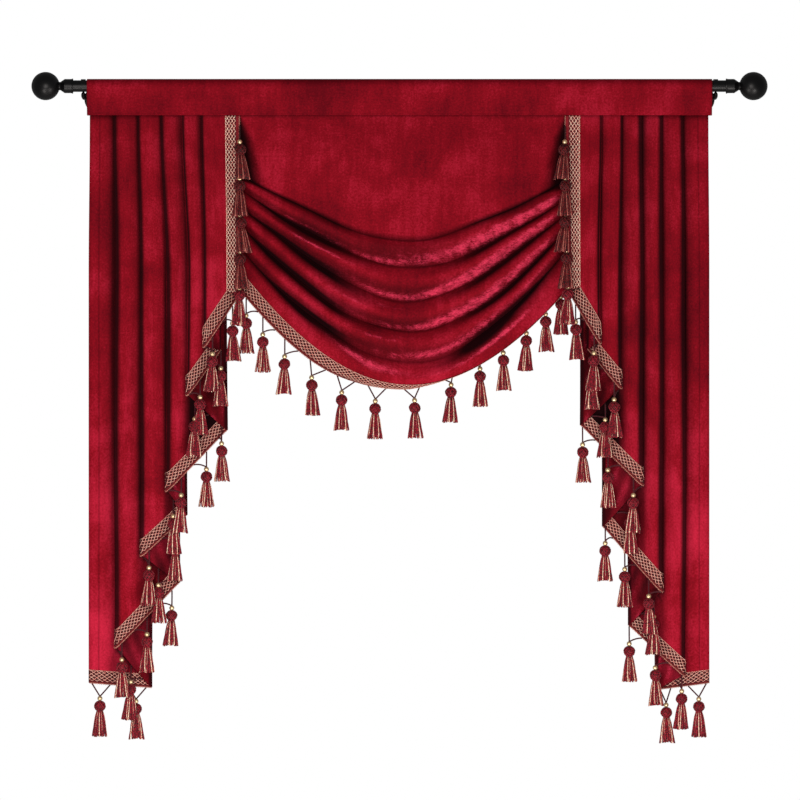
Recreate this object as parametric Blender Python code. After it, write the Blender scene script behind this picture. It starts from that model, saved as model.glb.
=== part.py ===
# Swag valance with two pleated side tails, on its rod, as it hangs in front of a window.
#
# Metres. X runs along the rod, Z is up, the wall is the plane y = 0 and the room is at -Y.
# The origin is on the wall, midway between the centres of the two wall plates.

import math

import bmesh
import bpy
from mathutils import Vector

# Rod, finials and brackets
ROD_RADIUS = 0.014
ROD_HALF_LENGTH = 0.800
ROD_FROM_WALL = 0.080
ROD_HEIGHT = 0.028
COLLAR_RADIUS = 0.017
COLLAR_START = 0.7836
BALL_RADIUS = 0.034
BALL_CENTRE = 0.8496
PLATE_RADIUS = 0.0345
PLATE_THICKNESS = 0.006
PLATE_X = 0.7255
ARM_RADIUS = 0.0055
CUP_X = 0.7590
CUP_WIDTH = 0.011

# Cloth
HEADER_HALF_LENGTH = 0.750
POCKET_RADIUS = 0.0163
POCKET_SAG = 0.0014
HEADER_THICKNESS = 0.0022
PACKED_FROM = 0.36
PACKED_OVER = 0.07
SEAM_DROP = 0.070
TOP_DROP = 0.066
PLEAT_FRONT = 0.084
TAIL_THICKNESS = 0.0016
SWAG_THICKNESS = 0.0020
GAP_AT_TOP = 0.0028
GAP_AT_HEM = 0.0080

# Trim
BRAID_WIDTH = 0.031
BRAID_THICKNESS = 0.0012
CLEARANCE = 0.0004
EDGE_CORD_OUT = 0.0026
EDGE_CORD_RAISED = 0.0006
LOOP_ROOT_OUT = 0.0016
LOOP_ROOT_UP = 0.0009
TAIL_TRIM_ENDS = (0.046, 0.030)
TASSELS_ON_TAIL = 23
LOOP_SPREAD = 0.022
LOOP_LENGTH = 0.036
LOOP_RADIUS = 0.0013
LOCKS_PER_TASSEL = 5

# How far each tassel leans forward of the edge that it hangs from
LEAN_ON_EDGE = 0.014
LEAN_ON_FACE = 0.006
LEAN_ON_RETURN = 0.014
LEAN_ON_SWAG = 0.002
LEAN_BEHIND_CURL = -0.008
CURLED_FROM = 0.07
LONGEST_LEAN = 0.027
TASSEL_TILT = 0.16

# How far the pleats have opened, from packed flat at the seam to hanging free.
# drop below the rod's axis, share opened
OPENING = (
    (TOP_DROP, 0.00),
    (0.160, 0.16),
    (0.270, 0.52),
    (0.360, 0.84),
    (0.440, 1.00),
)

# One row for each fold line of a tail, from the edge beside the swag to the outer edge.
# x at the seam, x at the hem, drop of the hem, set back at the seam, set back at the hem
LEFT_TAIL = (
    (-0.3852, -0.3852, 0.502, 0.0000, 0.000),
    (-0.4764, -0.4692, 0.626, 0.0014, 0.006),
    (-0.4356, -0.4284, 0.634, 0.0090, 0.019),
    (-0.5225, -0.5100, 0.742, 0.0014, 0.012),
    (-0.4260, -0.4140, 0.826, 0.0156, 0.035),
    (-0.5748, -0.5604, 0.972, 0.0014, 0.018),
    (-0.5244, -0.5100, 1.030, 0.0100, 0.034),
    (-0.6295, -0.6228, 1.128, 0.0014, 0.024),
    (-0.5340, -0.5268, 1.193, 0.0144, 0.045),
    (-0.6869, -0.6852, 1.349, 0.0014, 0.030),
    (-0.5964, -0.5940, 1.445, 0.0136, 0.050),
    (-0.7433, -0.7476, 1.433, 0.0000, 0.034),
)
RIGHT_TAIL = (
    (0.3984, 0.4050, 0.492, 0.0000, 0.000),
    (0.4860, 0.4812, 0.617, 0.0014, 0.006),
    (0.4548, 0.4500, 0.631, 0.0082, 0.018),
    (0.5354, 0.5333, 0.725, 0.0014, 0.012),
    (0.4404, 0.4332, 0.814, 0.0152, 0.036),
    (0.5813, 0.5860, 0.958, 0.0014, 0.018),
    (0.4812, 0.4860, 1.058, 0.0152, 0.042),
    (0.6317, 0.6334, 1.214, 0.0014, 0.024),
    (0.5460, 0.5484, 1.296, 0.0136, 0.044),
    (0.6816, 0.6876, 1.416, 0.0014, 0.030),
    (0.6084, 0.6156, 1.450, 0.0124, 0.048),
    (0.7414, 0.7452, 1.433, 0.0000, 0.034),
)

# The swag's fold lines from its seam to the last crest, each a curve that sags between the sides.
# drop at the left, middle and right; how round the sag is; then how far forward of the pleats
# the cloth stands at the left side, on the shoulders, in the middle and at the right side.
SWAG_FOLDS = (
    (0.066, 0.066, 0.066, 0.4, -0.0036, -0.0007, 0.0000, -0.0036),
    (0.120, 0.190, 0.124, 0.4, -0.0140, 0.0060, 0.0100, -0.0140),
    (0.209, 0.372, 0.221, 0.4, -0.0180, 0.0030, 0.0150, -0.0180),
    (0.222, 0.391, 0.244, 0.4, -0.0100, 0.0200, 0.0240, -0.0100),
    (0.238, 0.437, 0.266, 0.4, -0.0190, -0.0050, 0.0160, -0.0190),
    (0.257, 0.466, 0.279, 0.45, -0.0100, 0.0240, 0.0290, -0.0100),
    (0.277, 0.514, 0.297, 0.5, -0.0200, -0.0050, 0.0200, -0.0200),
    (0.297, 0.550, 0.315, 0.6, -0.0100, 0.0260, 0.0340, -0.0100),
    (0.318, 0.590, 0.336, 0.7, -0.0200, -0.0040, 0.0220, -0.0200),
    (0.346, 0.619, 0.360, 0.8, -0.0100, 0.0270, 0.0370, -0.0100),
    (0.370, 0.660, 0.386, 0.9, -0.0200, -0.0030, 0.0250, -0.0210),
    (0.397, 0.702, 0.424, 1.2, -0.0110, 0.0260, 0.0380, -0.0120),
    (0.415, 0.714, 0.474, 2.0, -0.0120, 0.0220, 0.0340, -0.0180),
)
SWAG_MIDDLE = 0.025
SWAG_LEFT = -0.399
SWAG_RIGHT = 0.412
SHOULDER = 0.55
SWAG_COLUMNS = 24

# Below the last crest the hem hangs down at the left and is curled under at the right.
# place from the left side (-1) to the right side (1), slope there at its top and at its edge in
# degrees, where 0 hangs straight down and 90 points back to the wall
HEM_STRIP = 0.032
HEM_TURNS = (
    (-1.00, 0.0, 12.0),
    (-0.55, 0.0, 30.0),
    (-0.30, 15.0, 80.0),
    (0.00, 30.0, 120.0),
    (0.25, 80.0, 170.0),
    (0.50, 95.0, 190.0),
    (1.00, 95.0, 190.0),
)

# At its top corners the swag is drawn back behind the tails.
TUCK_DEPTH = 0.024
TUCK_SHARE = 0.20

# The middle of each tassel's loop on the swag, by its x
SWAG_TASSELS = (
    -0.354, -0.313, -0.259, -0.196, -0.129, -0.054, 0.030, 0.111, 0.179, 0.233, 0.289, 0.336, 0.374,
)
SWAG_BRAID_INSET = 0.010

BURGUNDY = (0.27, 0.006, 0.014)
GOLD_BRAID = (0.80, 0.48, 0.30)
SATIN_BLACK = (0.012, 0.012, 0.013)


# Shared helpers

def clear_scene():
    for item in list(bpy.data.objects):
        bpy.data.objects.remove(item, do_unlink=True)


def material(name, colour, roughness, metallic=0.0):
    made = bpy.data.materials.new(name)
    made.use_nodes = True
    shader = made.node_tree.nodes["Principled BSDF"]
    shader.inputs["Base Color"].default_value = (*colour, 1.0)
    shader.inputs["Roughness"].default_value = roughness
    shader.inputs["Metallic"].default_value = metallic
    made.diffuse_color = (*colour, 1.0)
    return made


def mesh_object(name, points, faces):
    mesh = bpy.data.meshes.new(name)
    mesh.from_pydata([tuple(p) for p in points], [], faces)
    shape = bmesh.new()
    shape.from_mesh(mesh)
    bmesh.ops.recalc_face_normals(shape, faces=shape.faces)
    shape.to_mesh(mesh)
    shape.free()
    made = bpy.data.objects.new(name, mesh)
    bpy.context.collection.objects.link(made)
    return made


def place(x, forward, drop):
    # A point by its distance in front of the wall and its drop below the rod's axis.
    return Vector((x, -forward, ROD_HEIGHT - drop))


def mix(a, b, share):
    return a + (b - a) * share


def table_value(rows, column, at):
    # Straight lines between the rows of a table whose first column is the place along it.
    if at <= rows[0][0]:
        return rows[0][column]
    for before, after in zip(rows, rows[1:]):
        if at <= after[0]:
            return mix(before[column], after[column], (at - before[0]) / (after[0] - before[0]))
    return rows[-1][column]


def closed_sheet(name, points, normals, faces, front, back):
    # A sheet of the given faces, grown along each point's normal from back to front. Both sides
    # are cut along the same diagonals, so that they stay apart where the sheet is twisted.
    count = len(points)
    faces = [part for a, b, c, d in faces for part in ((a, b, c), (a, c, d))]
    corners = [p + n * front for p, n in zip(points, normals)]
    corners += [p + n * back for p, n in zip(points, normals)]
    walls = list(faces) + [tuple(count + i for i in reversed(face)) for face in faces]
    used = {}
    for face in faces:
        for a, b in zip(face, face[1:] + face[:1]):
            key = (min(a, b), max(a, b))
            used.setdefault(key, []).append((a, b))
    for found in used.values():
        if len(found) == 1:
            a, b = found[0]
            walls.append((b, a, count + a, count + b))
    return mesh_object(name, corners, walls)


def lathe(name, profile, sides, flip=1.0):
    # A turned solid along X: profile is a closed loop of (x, radius) around the rod's axis.
    points = []
    faces = []
    for x, radius in profile:
        for i in range(sides):
            turn = 2.0 * math.pi * i / sides
            points.append(Vector((
                flip * x,
                -ROD_FROM_WALL + radius * math.cos(turn),
                ROD_HEIGHT + radius * math.sin(turn),
            )))
    rings = len(profile)
    for ring in range(rings - 1):
        for i in range(sides):
            j = (i + 1) % sides
            faces.append((ring * sides + i, ring * sides + j, (ring + 1) * sides + j, (ring + 1) * sides + i))
    faces.append(tuple(range(sides)))
    faces.append(tuple(range((rings - 1) * sides, rings * sides)))
    return mesh_object(name, points, faces)


def tube(name, path, sides_of, radius, sides=4):
    # A bar along a path; sides_of gives, at each point, the direction that one corner faces.
    points = []
    faces = []
    for i, point in enumerate(path):
        before = path[max(i - 1, 0)]
        after = path[min(i + 1, len(path) - 1)]
        along = (after - before).normalized()
        first = (sides_of[i] - along * sides_of[i].dot(along)).normalized()
        second = along.cross(first)
        for k in range(sides):
            turn = 2.0 * math.pi * k / sides
            points.append(point + (first * math.cos(turn) + second * math.sin(turn)) * radius)
    for i in range(len(path) - 1):
        for k in range(sides):
            j = (k + 1) % sides
            faces.append((i * sides + k, i * sides + j, (i + 1) * sides + j, (i + 1) * sides + k))
    faces.append(tuple(range(sides)))
    faces.append(tuple(range((len(path) - 1) * sides, len(path) * sides)))
    return mesh_object(name, points, faces)


def joined(base, others):
    # Everything in others made one solid with base.
    group = bpy.data.collections.new(base.name + "_joined")
    for item in others:
        for owner in item.users_collection:
            owner.objects.unlink(item)
        group.objects.link(item)
    union = base.modifiers.new("join", "BOOLEAN")
    union.operation = "UNION"
    union.solver = "EXACT"
    union.operand_type = "COLLECTION"
    union.collection = group
    graph = bpy.context.evaluated_depsgraph_get()
    graph.update()
    solid = bpy.data.meshes.new_from_object(base.evaluated_get(graph))
    base.modifiers.clear()
    base.data = solid
    for item in others:
        bpy.data.objects.remove(item, do_unlink=True)
    bpy.data.collections.remove(group)
    return base


# Hardware

def make_rod(finish):
    half = ROD_HALF_LENGTH
    rod = lathe("rod", [(-half, ROD_RADIUS), (half, ROD_RADIUS)], 24)
    rod.data.materials.append(finish)


def make_finial(name, side, finish):
    # The collar is a cup over the rod's end, then a cone, a neck and the ball.
    start = COLLAR_START
    bore = ROD_RADIUS + CLEARANCE
    end = ROD_HALF_LENGTH + CLEARANCE
    profile = [
        (end, bore),
        (start, bore),
        (start, COLLAR_RADIUS + 0.0010),
        (start + 0.003, COLLAR_RADIUS + 0.0010),
        (start + 0.004, COLLAR_RADIUS),
        (start + 0.0216, COLLAR_RADIUS),
        (BALL_CENTRE - BALL_RADIUS * math.cos(0.25), BALL_RADIUS * math.sin(0.25)),
    ]
    for step in range(1, 7):
        turn = 0.25 + (math.pi - 0.25) * step / 7.0
        profile.append((BALL_CENTRE - BALL_RADIUS * math.cos(turn), BALL_RADIUS * math.sin(turn)))
    profile.append((BALL_CENTRE + BALL_RADIUS, 0.004))
    finial = lathe(name, profile, 16, side)
    finial.data.materials.append(finish)


def make_bracket(name, side, finish):
    # A round plate on the wall, a cranked arm and a half ring under the rod.
    plate_points = []
    plate_faces = []
    rings = ((0.0, PLATE_RADIUS), (0.004, PLATE_RADIUS), (PLATE_THICKNESS, PLATE_RADIUS - 0.002))
    sides = 24
    for forward, radius in rings:
        for i in range(sides):
            turn = 2.0 * math.pi * i / sides
            plate_points.append(Vector((
                side * PLATE_X + radius * math.cos(turn),
                -forward,
                radius * math.sin(turn),
            )))
    for ring in range(len(rings) - 1):
        for i in range(sides):
            j = (i + 1) % sides
            plate_faces.append((
                ring * sides + i, ring * sides + j, (ring + 1) * sides + j, (ring + 1) * sides + i,
            ))
    plate_faces.append(tuple(range(sides)))
    plate_faces.append(tuple(range(2 * sides, 3 * sides)))
    bracket = mesh_object(name, plate_points, plate_faces)

    cup_low = ROD_RADIUS + CLEARANCE + 0.0010
    path = [
        Vector((side * PLATE_X, -PLATE_THICKNESS + 0.002, 0.0)),
        Vector((side * PLATE_X, -0.040, 0.0)),
        Vector((side * (PLATE_X + 0.006), -0.046, 0.0)),
        Vector((side * (CUP_X - 0.004), -0.056, 0.0)),
        Vector((side * CUP_X, -0.062, 0.001)),
        Vector((side * CUP_X, -ROD_FROM_WALL, ROD_HEIGHT - cup_low)),
    ]
    up = [Vector((0.0, 0.0, 1.0))] * len(path)
    arm = tube(name + "_arm", path, up, ARM_RADIUS, 8)

    ring_points = []
    ring_faces = []
    steps = 10
    inner = ROD_RADIUS + CLEARANCE
    outer = inner + 0.0022
    for i in range(steps + 1):
        turn = math.pi + math.pi * i / steps
        for x, radius in (
            (CUP_X - CUP_WIDTH / 2, inner), (CUP_X + CUP_WIDTH / 2, inner),
            (CUP_X + CUP_WIDTH / 2, outer), (CUP_X - CUP_WIDTH / 2, outer),
        ):
            ring_points.append(Vector((
                side * x,
                -ROD_FROM_WALL + radius * math.cos(turn),
                ROD_HEIGHT + radius * math.sin(turn),
            )))
    for i in range(steps):
        for k in range(4):
            j = (k + 1) % 4
            ring_faces.append((i * 4 + k, i * 4 + j, i * 4 + 4 + j, i * 4 + 4 + k))
    ring_faces.append((0, 1, 2, 3))
    ring_faces.append(tuple(steps * 4 + k for k in range(4)))
    cup = mesh_object(name + "_cup", ring_points, ring_faces)

    # The arm's end is cut back to the bore of the cup.
    rod_room = lathe(name + "_room", [(-0.9, inner), (0.9, inner)], 40)
    cut = arm.modifiers.new("cut", "BOOLEAN")
    cut.operation = "DIFFERENCE"
    cut.solver = "EXACT"
    cut.object = rod_room
    graph = bpy.context.evaluated_depsgraph_get()
    graph.update()
    cut_arm = bpy.data.meshes.new_from_object(arm.evaluated_get(graph))
    arm.modifiers.clear()
    arm.data = cut_arm
    bpy.data.objects.remove(rod_room, do_unlink=True)
    joined(bracket, [arm, cup])
    bracket.data.materials.clear()
    bracket.data.materials.append(finish)


# Rod pocket

def make_rod_pocket(finish):
    # One strip of cloth: up behind the rod, over it, and down in front to the seam.
    middle = POCKET_RADIUS + HEADER_THICKNESS / 2
    right = (0.18, PACKED_FROM, PACKED_FROM + PACKED_OVER, 0.60, HEADER_HALF_LENGTH)
    stations = [-x for x in reversed(right)] + [0.0] + list(right)
    turns = (205, 170, 135, 105, 75, 45, 10, -30)
    points = []
    normals = []
    for x in stations:
        packed = min(max((abs(x) - PACKED_FROM) / PACKED_OVER, 0.0), 1.0)
        front = PLEAT_FRONT + TAIL_THICKNESS / 2 + 0.0006 + HEADER_THICKNESS / 2
        back = PLEAT_FRONT - mix(0.0062, 0.0205, packed) - HEADER_THICKNESS / 2
        waver = 0.0012 * math.sin(x * 23.0) + 0.0008 * math.sin(x * 51.0 + 1.0)
        profile = [(back, SEAM_DROP), (mix(back, ROD_FROM_WALL - middle, 0.55), 0.035)]
        for turn in turns:
            angle = math.radians(turn)
            profile.append((ROD_FROM_WALL + middle * math.cos(angle), POCKET_SAG - middle * math.sin(angle)))
        profile.append((mix(front, ROD_FROM_WALL + middle, 0.45) + waver, 0.035))
        profile.append((front, SEAM_DROP))
        for i, (forward, drop) in enumerate(profile):
            points.append(place(x, forward, drop))
            before = profile[max(i - 1, 0)]
            after = profile[min(i + 1, len(profile) - 1)]
            along = Vector((after[0] - before[0], after[1] - before[1])).normalized()
            normals.append(Vector((0.0, along.y, along.x)))
    length = len(turns) + 4
    faces = []
    for i in range(len(stations) - 1):
        for k in range(length - 1):
            faces.append((i * length + k, i * length + k + 1, (i + 1) * length + k + 1, (i + 1) * length + k))
    pocket = closed_sheet("rod_pocket", points, normals, faces, HEADER_THICKNESS / 2, -HEADER_THICKNESS / 2)
    pocket.data.materials.append(finish)


# Pleated tails

def tail_columns(folds):
    # The tail's upright lines, each as (layer or fold number, kind, place in it).
    # kind "flat" is a share of a layer's width; kind "fold" is an angle round a fold.
    columns = [("flat", 0, 0.0)]
    for layer in range(len(folds) - 1):
        width = abs(folds[layer + 1][1] - folds[layer][1])
        if layer == 0:
            columns.append(("flat", 0, BRAID_WIDTH / width))
        else:
            columns.append(("flat", layer, 0.5))
        if layer < len(folds) - 2:
            for angle in (-90.0, -30.0, 30.0, 90.0):
                columns.append(("fold", layer + 1, angle))
    columns.append(("flat", len(folds) - 2, 1.0))
    return columns


def tail_point(folds, column, drop):
    # The middle of the cloth on one upright line at a given drop, and its right side's normal.
    side = 1.0 if folds[0][0] > 0 else -1.0
    opened = table_value(OPENING, 1, drop)
    radius = mix(GAP_AT_TOP, GAP_AT_HEM, opened) / 2
    last = len(folds) - 1

    def centre(k):
        # The middle of fold k's half circle; odd folds point outwards, even ones inwards.
        x = mix(folds[k][0], folds[k][1], opened)
        back = mix(folds[k][3], folds[k][4], opened)
        if 0 < k < last:
            x -= side * radius * (1.0 if k % 2 else -1.0)
        return x, back

    kind, number, value = column
    if kind == "fold":
        x, back = centre(number)
        outward = side if number % 2 else -side
        angle = math.radians(value)
        ray = Vector((outward * math.cos(angle), math.sin(angle), 0.0))
        point = place(x + radius * ray.x, PLEAT_FRONT - back - radius * ray.y, drop)
        return point, ray if number % 2 else -ray
    start_x, start_back = centre(number)
    end_x, end_back = centre(number + 1)
    if number > 0:
        start_back += radius
    if number + 1 < last:
        end_back -= radius
    x = mix(start_x, end_x, value)
    back = mix(start_back, end_back, value)
    across = Vector((end_x - start_x, end_back - start_back, 0.0)).normalized()
    normal = Vector((across.y, -across.x, 0.0))
    if normal.y > 0.0:
        normal.negate()
    if number % 2:
        normal.negate()
    return place(x, PLEAT_FRONT - back, drop), normal


def hem_at(folds, column):
    # The drop of the hem on one upright line, and how steeply the hem runs there.
    kind, number, value = column

    def steepness(layer):
        layer = min(max(layer, 0), len(folds) - 2)
        rise = folds[layer + 1][2] - folds[layer][2]
        return abs(rise / (folds[layer + 1][1] - folds[layer][1]))

    if kind == "fold":
        return folds[number][2], (steepness(number - 1) + steepness(number)) / 2
    return mix(folds[number][2], folds[number + 1][2], value), steepness(number)


def make_tail(name, folds, finish):
    columns = tail_columns(folds)
    points = []
    normals = []
    rows = [row[0] for row in OPENING]
    for column in columns:
        hem = hem_at(folds, column)[0]
        for drop in rows + [hem]:
            point, normal = tail_point(folds, column, drop)
            points.append(point)
            normals.append(normal)
    height = len(rows) + 1
    faces = []
    for i in range(len(columns) - 1):
        for k in range(height - 1):
            faces.append((i * height + k, i * height + k + 1, (i + 1) * height + k + 1, (i + 1) * height + k))
    tail = closed_sheet(name, points, normals, faces, TAIL_THICKNESS / 2, -TAIL_THICKNESS / 2)
    tail.data.materials.append(finish)


# Swag

def swag_share(x):
    # How far out x lies from the swag's middle, from 0 to 1 at its sides.
    if x < SWAG_MIDDLE:
        return (SWAG_MIDDLE - x) / (SWAG_MIDDLE - SWAG_LEFT)
    return (x - SWAG_MIDDLE) / (SWAG_RIGHT - SWAG_MIDDLE)


def swag_line(row, x):
    # Drop and forward distance of one fold line of the swag at x.
    left, middle, right, roundness, fore_left, fore_shoulder, fore_middle, fore_right = row
    share = swag_share(x)
    side_drop, fore_side = (left, fore_left) if x < SWAG_MIDDLE else (right, fore_right)
    sag = (math.hypot(roundness, share) - roundness) / (math.hypot(roundness, 1.0) - roundness)
    drop = mix(middle, side_drop, sag)
    forward = (
        fore_middle * (share - SHOULDER) * (share - 1.0) / SHOULDER
        + fore_shoulder * share * (share - 1.0) / (SHOULDER * (SHOULDER - 1.0))
        + fore_side * share * (share - SHOULDER) / (1.0 - SHOULDER)
    )
    return drop, forward


def swag_rows():
    # Places down the swag: a fold line's number and the share of the way to the next.
    rows = []
    for line in range(len(SWAG_FOLDS)):
        steps = {0: 3, len(SWAG_FOLDS) - 1: 4}.get(line, 2)
        rows += [(line, step / steps) for step in range(steps)]
    rows.append((len(SWAG_FOLDS) - 1, 1.0))
    return rows


def hem_point(share, x):
    # A point of the hem strip, which starts at the last crest and turns as it goes.
    last = SWAG_FOLDS[-1]
    drop, forward = swag_line(last, x)
    step = 0.004
    slope = (swag_line(last, x + step)[0] - swag_line(last, x - step)[0]) / (2.0 * step)
    place_across = swag_share(x) * (-1.0 if x < SWAG_MIDDLE else 1.0)
    start = math.radians(table_value(HEM_TURNS, 1, place_across))
    turn = math.radians(table_value(HEM_TURNS, 2, place_across)) - start
    down = (math.sin(start + turn * share) - math.sin(start)) / turn
    back = (math.cos(start) - math.cos(start + turn * share)) / turn
    drop += HEM_STRIP * down * math.hypot(1.0, slope)
    return place(x, PLEAT_FRONT + forward - HEM_STRIP * back, drop)


def swag_point(line, share, x):
    if line == len(SWAG_FOLDS) - 1:
        return hem_point(share, x)
    drop_a, forward_a = swag_line(SWAG_FOLDS[line], x)
    drop_b, forward_b = swag_line(SWAG_FOLDS[line + 1], x)
    eased = 0.5 - 0.5 * math.cos(math.pi * share)
    forward = mix(forward_a, forward_b, eased)

    # The tuck widens from the seam to the first valley, and ends at the first crest.
    down = min((line + share) / 2.0, 1.0) * min(max(3.0 - line - share, 0.0), 1.0)
    if down > 0.0:
        forward -= TUCK_DEPTH * down * max(swag_share(x) - 1.0 + TUCK_SHARE * down, 0.0) / TUCK_SHARE
    return place(x, PLEAT_FRONT + forward, mix(drop_a, drop_b, share))


def swag_columns():
    columns = []
    for i in range(SWAG_COLUMNS + 1):
        even = i / SWAG_COLUMNS
        columns.append(mix(SWAG_LEFT, SWAG_RIGHT, even))
    return columns


def swag_normal(line, share, x):
    # From two short steps, across and down the cloth, on the side that faces the room.
    step = 0.004
    left = swag_point(line, share, max(x - step, SWAG_LEFT))
    right = swag_point(line, share, min(x + step, SWAG_RIGHT))
    flat_share = min(max(share, 0.02), 0.98)
    above = swag_point(line, max(flat_share - 0.3, 0.0), x)
    below = swag_point(line, min(flat_share + 0.3, 1.0), x)
    return (right - left).cross(above - below).normalized()


def make_swag(finish):
    rows = swag_rows()
    columns = swag_columns()
    points = []
    normals = []
    for x in columns:
        for line, share in rows:
            points.append(swag_point(line, share, x))
            normals.append(swag_normal(line, share, x))
    height = len(rows)
    faces = []
    for i in range(len(columns) - 1):
        for k in range(height - 1):
            faces.append((i * height + k, i * height + k + 1, (i + 1) * height + k + 1, (i + 1) * height + k))
    swag = closed_sheet("swag", points, normals, faces, SWAG_THICKNESS / 2, -SWAG_THICKNESS / 2)
    swag.data.materials.append(finish)


# Trim with its tassels

def tassel(name, top):
    # Bead, knotted head and skirt in one turned piece of five sides, the skirt cut into locks.
    # drop below the top of the bead, half width, half depth
    rings = (
        (0.0055, 0.0055, 0.0055),
        (0.0105, 0.0022, 0.0022),
        (0.0210, 0.0120, 0.0090),
        (0.0345, 0.0072, 0.0060),
    )
    sides = LOCKS_PER_TASSEL
    points = [top]
    for drop, wide, deep in rings:
        for i in range(sides):
            turn = 2.0 * math.pi * (i + 0.25) / sides
            ahead = TASSEL_TILT * drop
            points.append(top + Vector((wide * math.cos(turn), deep * math.sin(turn) - ahead, -drop)))
    faces = []
    for i in range(sides):
        j = (i + 1) % sides
        faces.append((0, 1 + i, 1 + j))
        for ring in range(len(rings) - 1):
            first = 1 + ring * sides
            faces.append((first + i, first + j, first + sides + j, first + sides + i))

    # Each lock grows from one triangle under the head and hangs apart from its neighbours.
    foot = 1 + (len(rings) - 1) * sides
    drop, wide, deep = rings[-1]
    middle = len(points)
    points.append(top - Vector((0.0, TASSEL_TILT * drop, drop)))
    for i in range(sides):
        j = (i + 1) % sides
        root = (middle, foot + i, foot + j)
        turn = 2.0 * math.pi * (i + 0.75) / sides
        length = 0.064 - 0.003 * ((i * 2) % 3)
        fall = drop + length
        ahead = TASSEL_TILT * fall
        end = top + Vector((0.0128 * math.cos(turn), 0.0052 * math.sin(turn) - ahead, -fall))
        tips = []
        for angle in (turn + math.pi, turn - 1.05, turn + 1.05):
            tips.append(len(points))
            points.append(end + Vector((0.0034 * math.cos(angle), 0.0024 * math.sin(angle), 0.0)))
        for a in range(3):
            b = (a + 1) % 3
            faces.append((root[a], root[b], tips[b], tips[a]))
        faces.append(tuple(tips))
    return mesh_object(name, points, faces)


def bead_top(first, second, forward):
    # Where a bead on a loop hangs: under the higher end if the loop is slack, else between.
    if second.z > first.z:
        first, second = second, first
    lean = Vector((0.0, -forward, 0.0))
    reach = math.sqrt(max(LOOP_LENGTH ** 2 - forward ** 2, 0.0))
    under = first - Vector((0.0, 0.0, reach))
    away = Vector((second.x - under.x, 0.0, second.z - under.z)).length
    if away <= LOOP_LENGTH:
        return Vector((under.x, (first.y + second.y) / 2, under.z)) + lean
    flat = Vector((second.x - first.x, 0.0, second.z - first.z))
    half = min(flat.length / 2, reach * 0.98)
    sag = math.sqrt(reach ** 2 - half ** 2)
    across = flat.normalized()
    down = Vector((across.z, 0.0, -across.x))
    if down.z > 0.0:
        down.negate()
    middle = (first + second) / 2
    return middle + down * sag + lean


def along_path(path, at):
    # The point at a distance along a path, and the number of the stretch that it is on.
    gone = 0.0
    for i, (a, b) in enumerate(zip(path, path[1:])):
        step = (b - a).length
        if gone + step >= at:
            return a.lerp(b, (at - gone) / step), i
        gone += step
    return path[-1].copy(), len(path) - 2


def path_length(path):
    return sum((b - a).length for a, b in zip(path, path[1:]))


def clear_of(top, hung):
    # Whether a tassel would hang free of the lower ones, which it passes in front of.
    for other in hung:
        across = abs(top.x - other.x) / 0.035
        fall = abs(top.z - other.z)
        if across >= 1.0 or fall >= 0.100:
            continue
        ahead = other.y - top.y if top.z > other.z else top.y - other.y
        room = 0.0165 if fall < 0.080 else 0.0135
        if ahead + TASSEL_TILT * fall < room * math.sqrt(1.0 - across ** 2):
            return False
    return True


def even_places(path, start, finish, count):
    # Distances along a path, evenly spaced between its two ends' margins.
    pitch = (path_length(path) - start - finish) / (count - 1)
    return [start + pitch * n for n in range(count)]


def places_over(path, stops):
    # Distances along a path that runs in x, where it passes each given x.
    found = []
    for x in stops:
        gone = 0.0
        for a, b in zip(path, path[1:]):
            if b.x >= x:
                break
            gone += (b - a).length
        found.append(gone + (x - a.x) / (b.x - a.x) * (b - a).length)
    return found


def loop_places(path, middles, leans):
    # For each tassel its loop's two ends on the edge of the braid, and the top of its bead.
    places = []
    hung = []
    for at in reversed(middles):
        first = along_path(path, max(at - LOOP_SPREAD, 0.0))[0]
        second = along_path(path, at + LOOP_SPREAD)[0]
        lean = leans[along_path(path, at)[1]]
        top = bead_top(first, second, lean)
        while lean < LONGEST_LEAN and not clear_of(top, hung):
            lean += 0.001
            top = bead_top(first, second, lean)
        hung.append(top)
        places.append((first, second, top))
    return places


def hang_tassels(name, places):
    pieces = []
    for n, (first, second, top) in enumerate(places):
        pieces.append(tassel(f"{name}_tassel{n}", top))
        stop = top - Vector((0.0, 0.0, 0.0050))
        for label, end in (("a", first), ("b", second)):
            facing = [Vector((0.0, -1.0, 0.0))] * 2
            pieces.append(tube(f"{name}_loop{n}{label}", [end, stop], facing, LOOP_RADIUS, 3))
    return pieces


def edged_braid(name, stations, cloth_thickness, gap):
    # Braid lying on the cloth, thicker along its outer edge, where it reaches past the cloth.
    # Each station is the cloth's points and normals from braid to edge, and the way outwards.
    back = cloth_thickness / 2 + gap
    front = back + BRAID_THICKNESS
    points = []
    faces = []
    for rows, out in stations:
        edge, normal = rows[-1]
        points += [point + across * front for point, across in rows[:-1]]
        points.append(edge + out * EDGE_CORD_OUT + normal * (front + EDGE_CORD_RAISED))
        points.append(edge + out * EDGE_CORD_OUT + normal * back)
        points += [point + across * back for point, across in reversed(rows[:-1])]
    ring = len(points) // len(stations)
    for i in range(len(stations) - 1):
        for k in range(ring):
            j = (k + 1) % ring
            a, b, c, d = i * ring + k, i * ring + j, (i + 1) * ring + j, (i + 1) * ring + k
            faces += [(a, b, c), (a, c, d)] if k < ring // 2 else [(a, b, d), (b, c, d)]
    faces.append(tuple(range(ring)))
    faces.append(tuple(range((len(stations) - 1) * ring, len(points))))
    return mesh_object(name, points, faces)


def cord_path(stations, cloth_thickness, gap):
    # The line inside the braid's outer edge that the loops are sewn to.
    path = []
    for rows, out in stations:
        edge, normal = rows[-1]
        path.append(edge + out * LOOP_ROOT_OUT + normal * (cloth_thickness / 2 + gap + LOOP_ROOT_UP))
    return path


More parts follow.
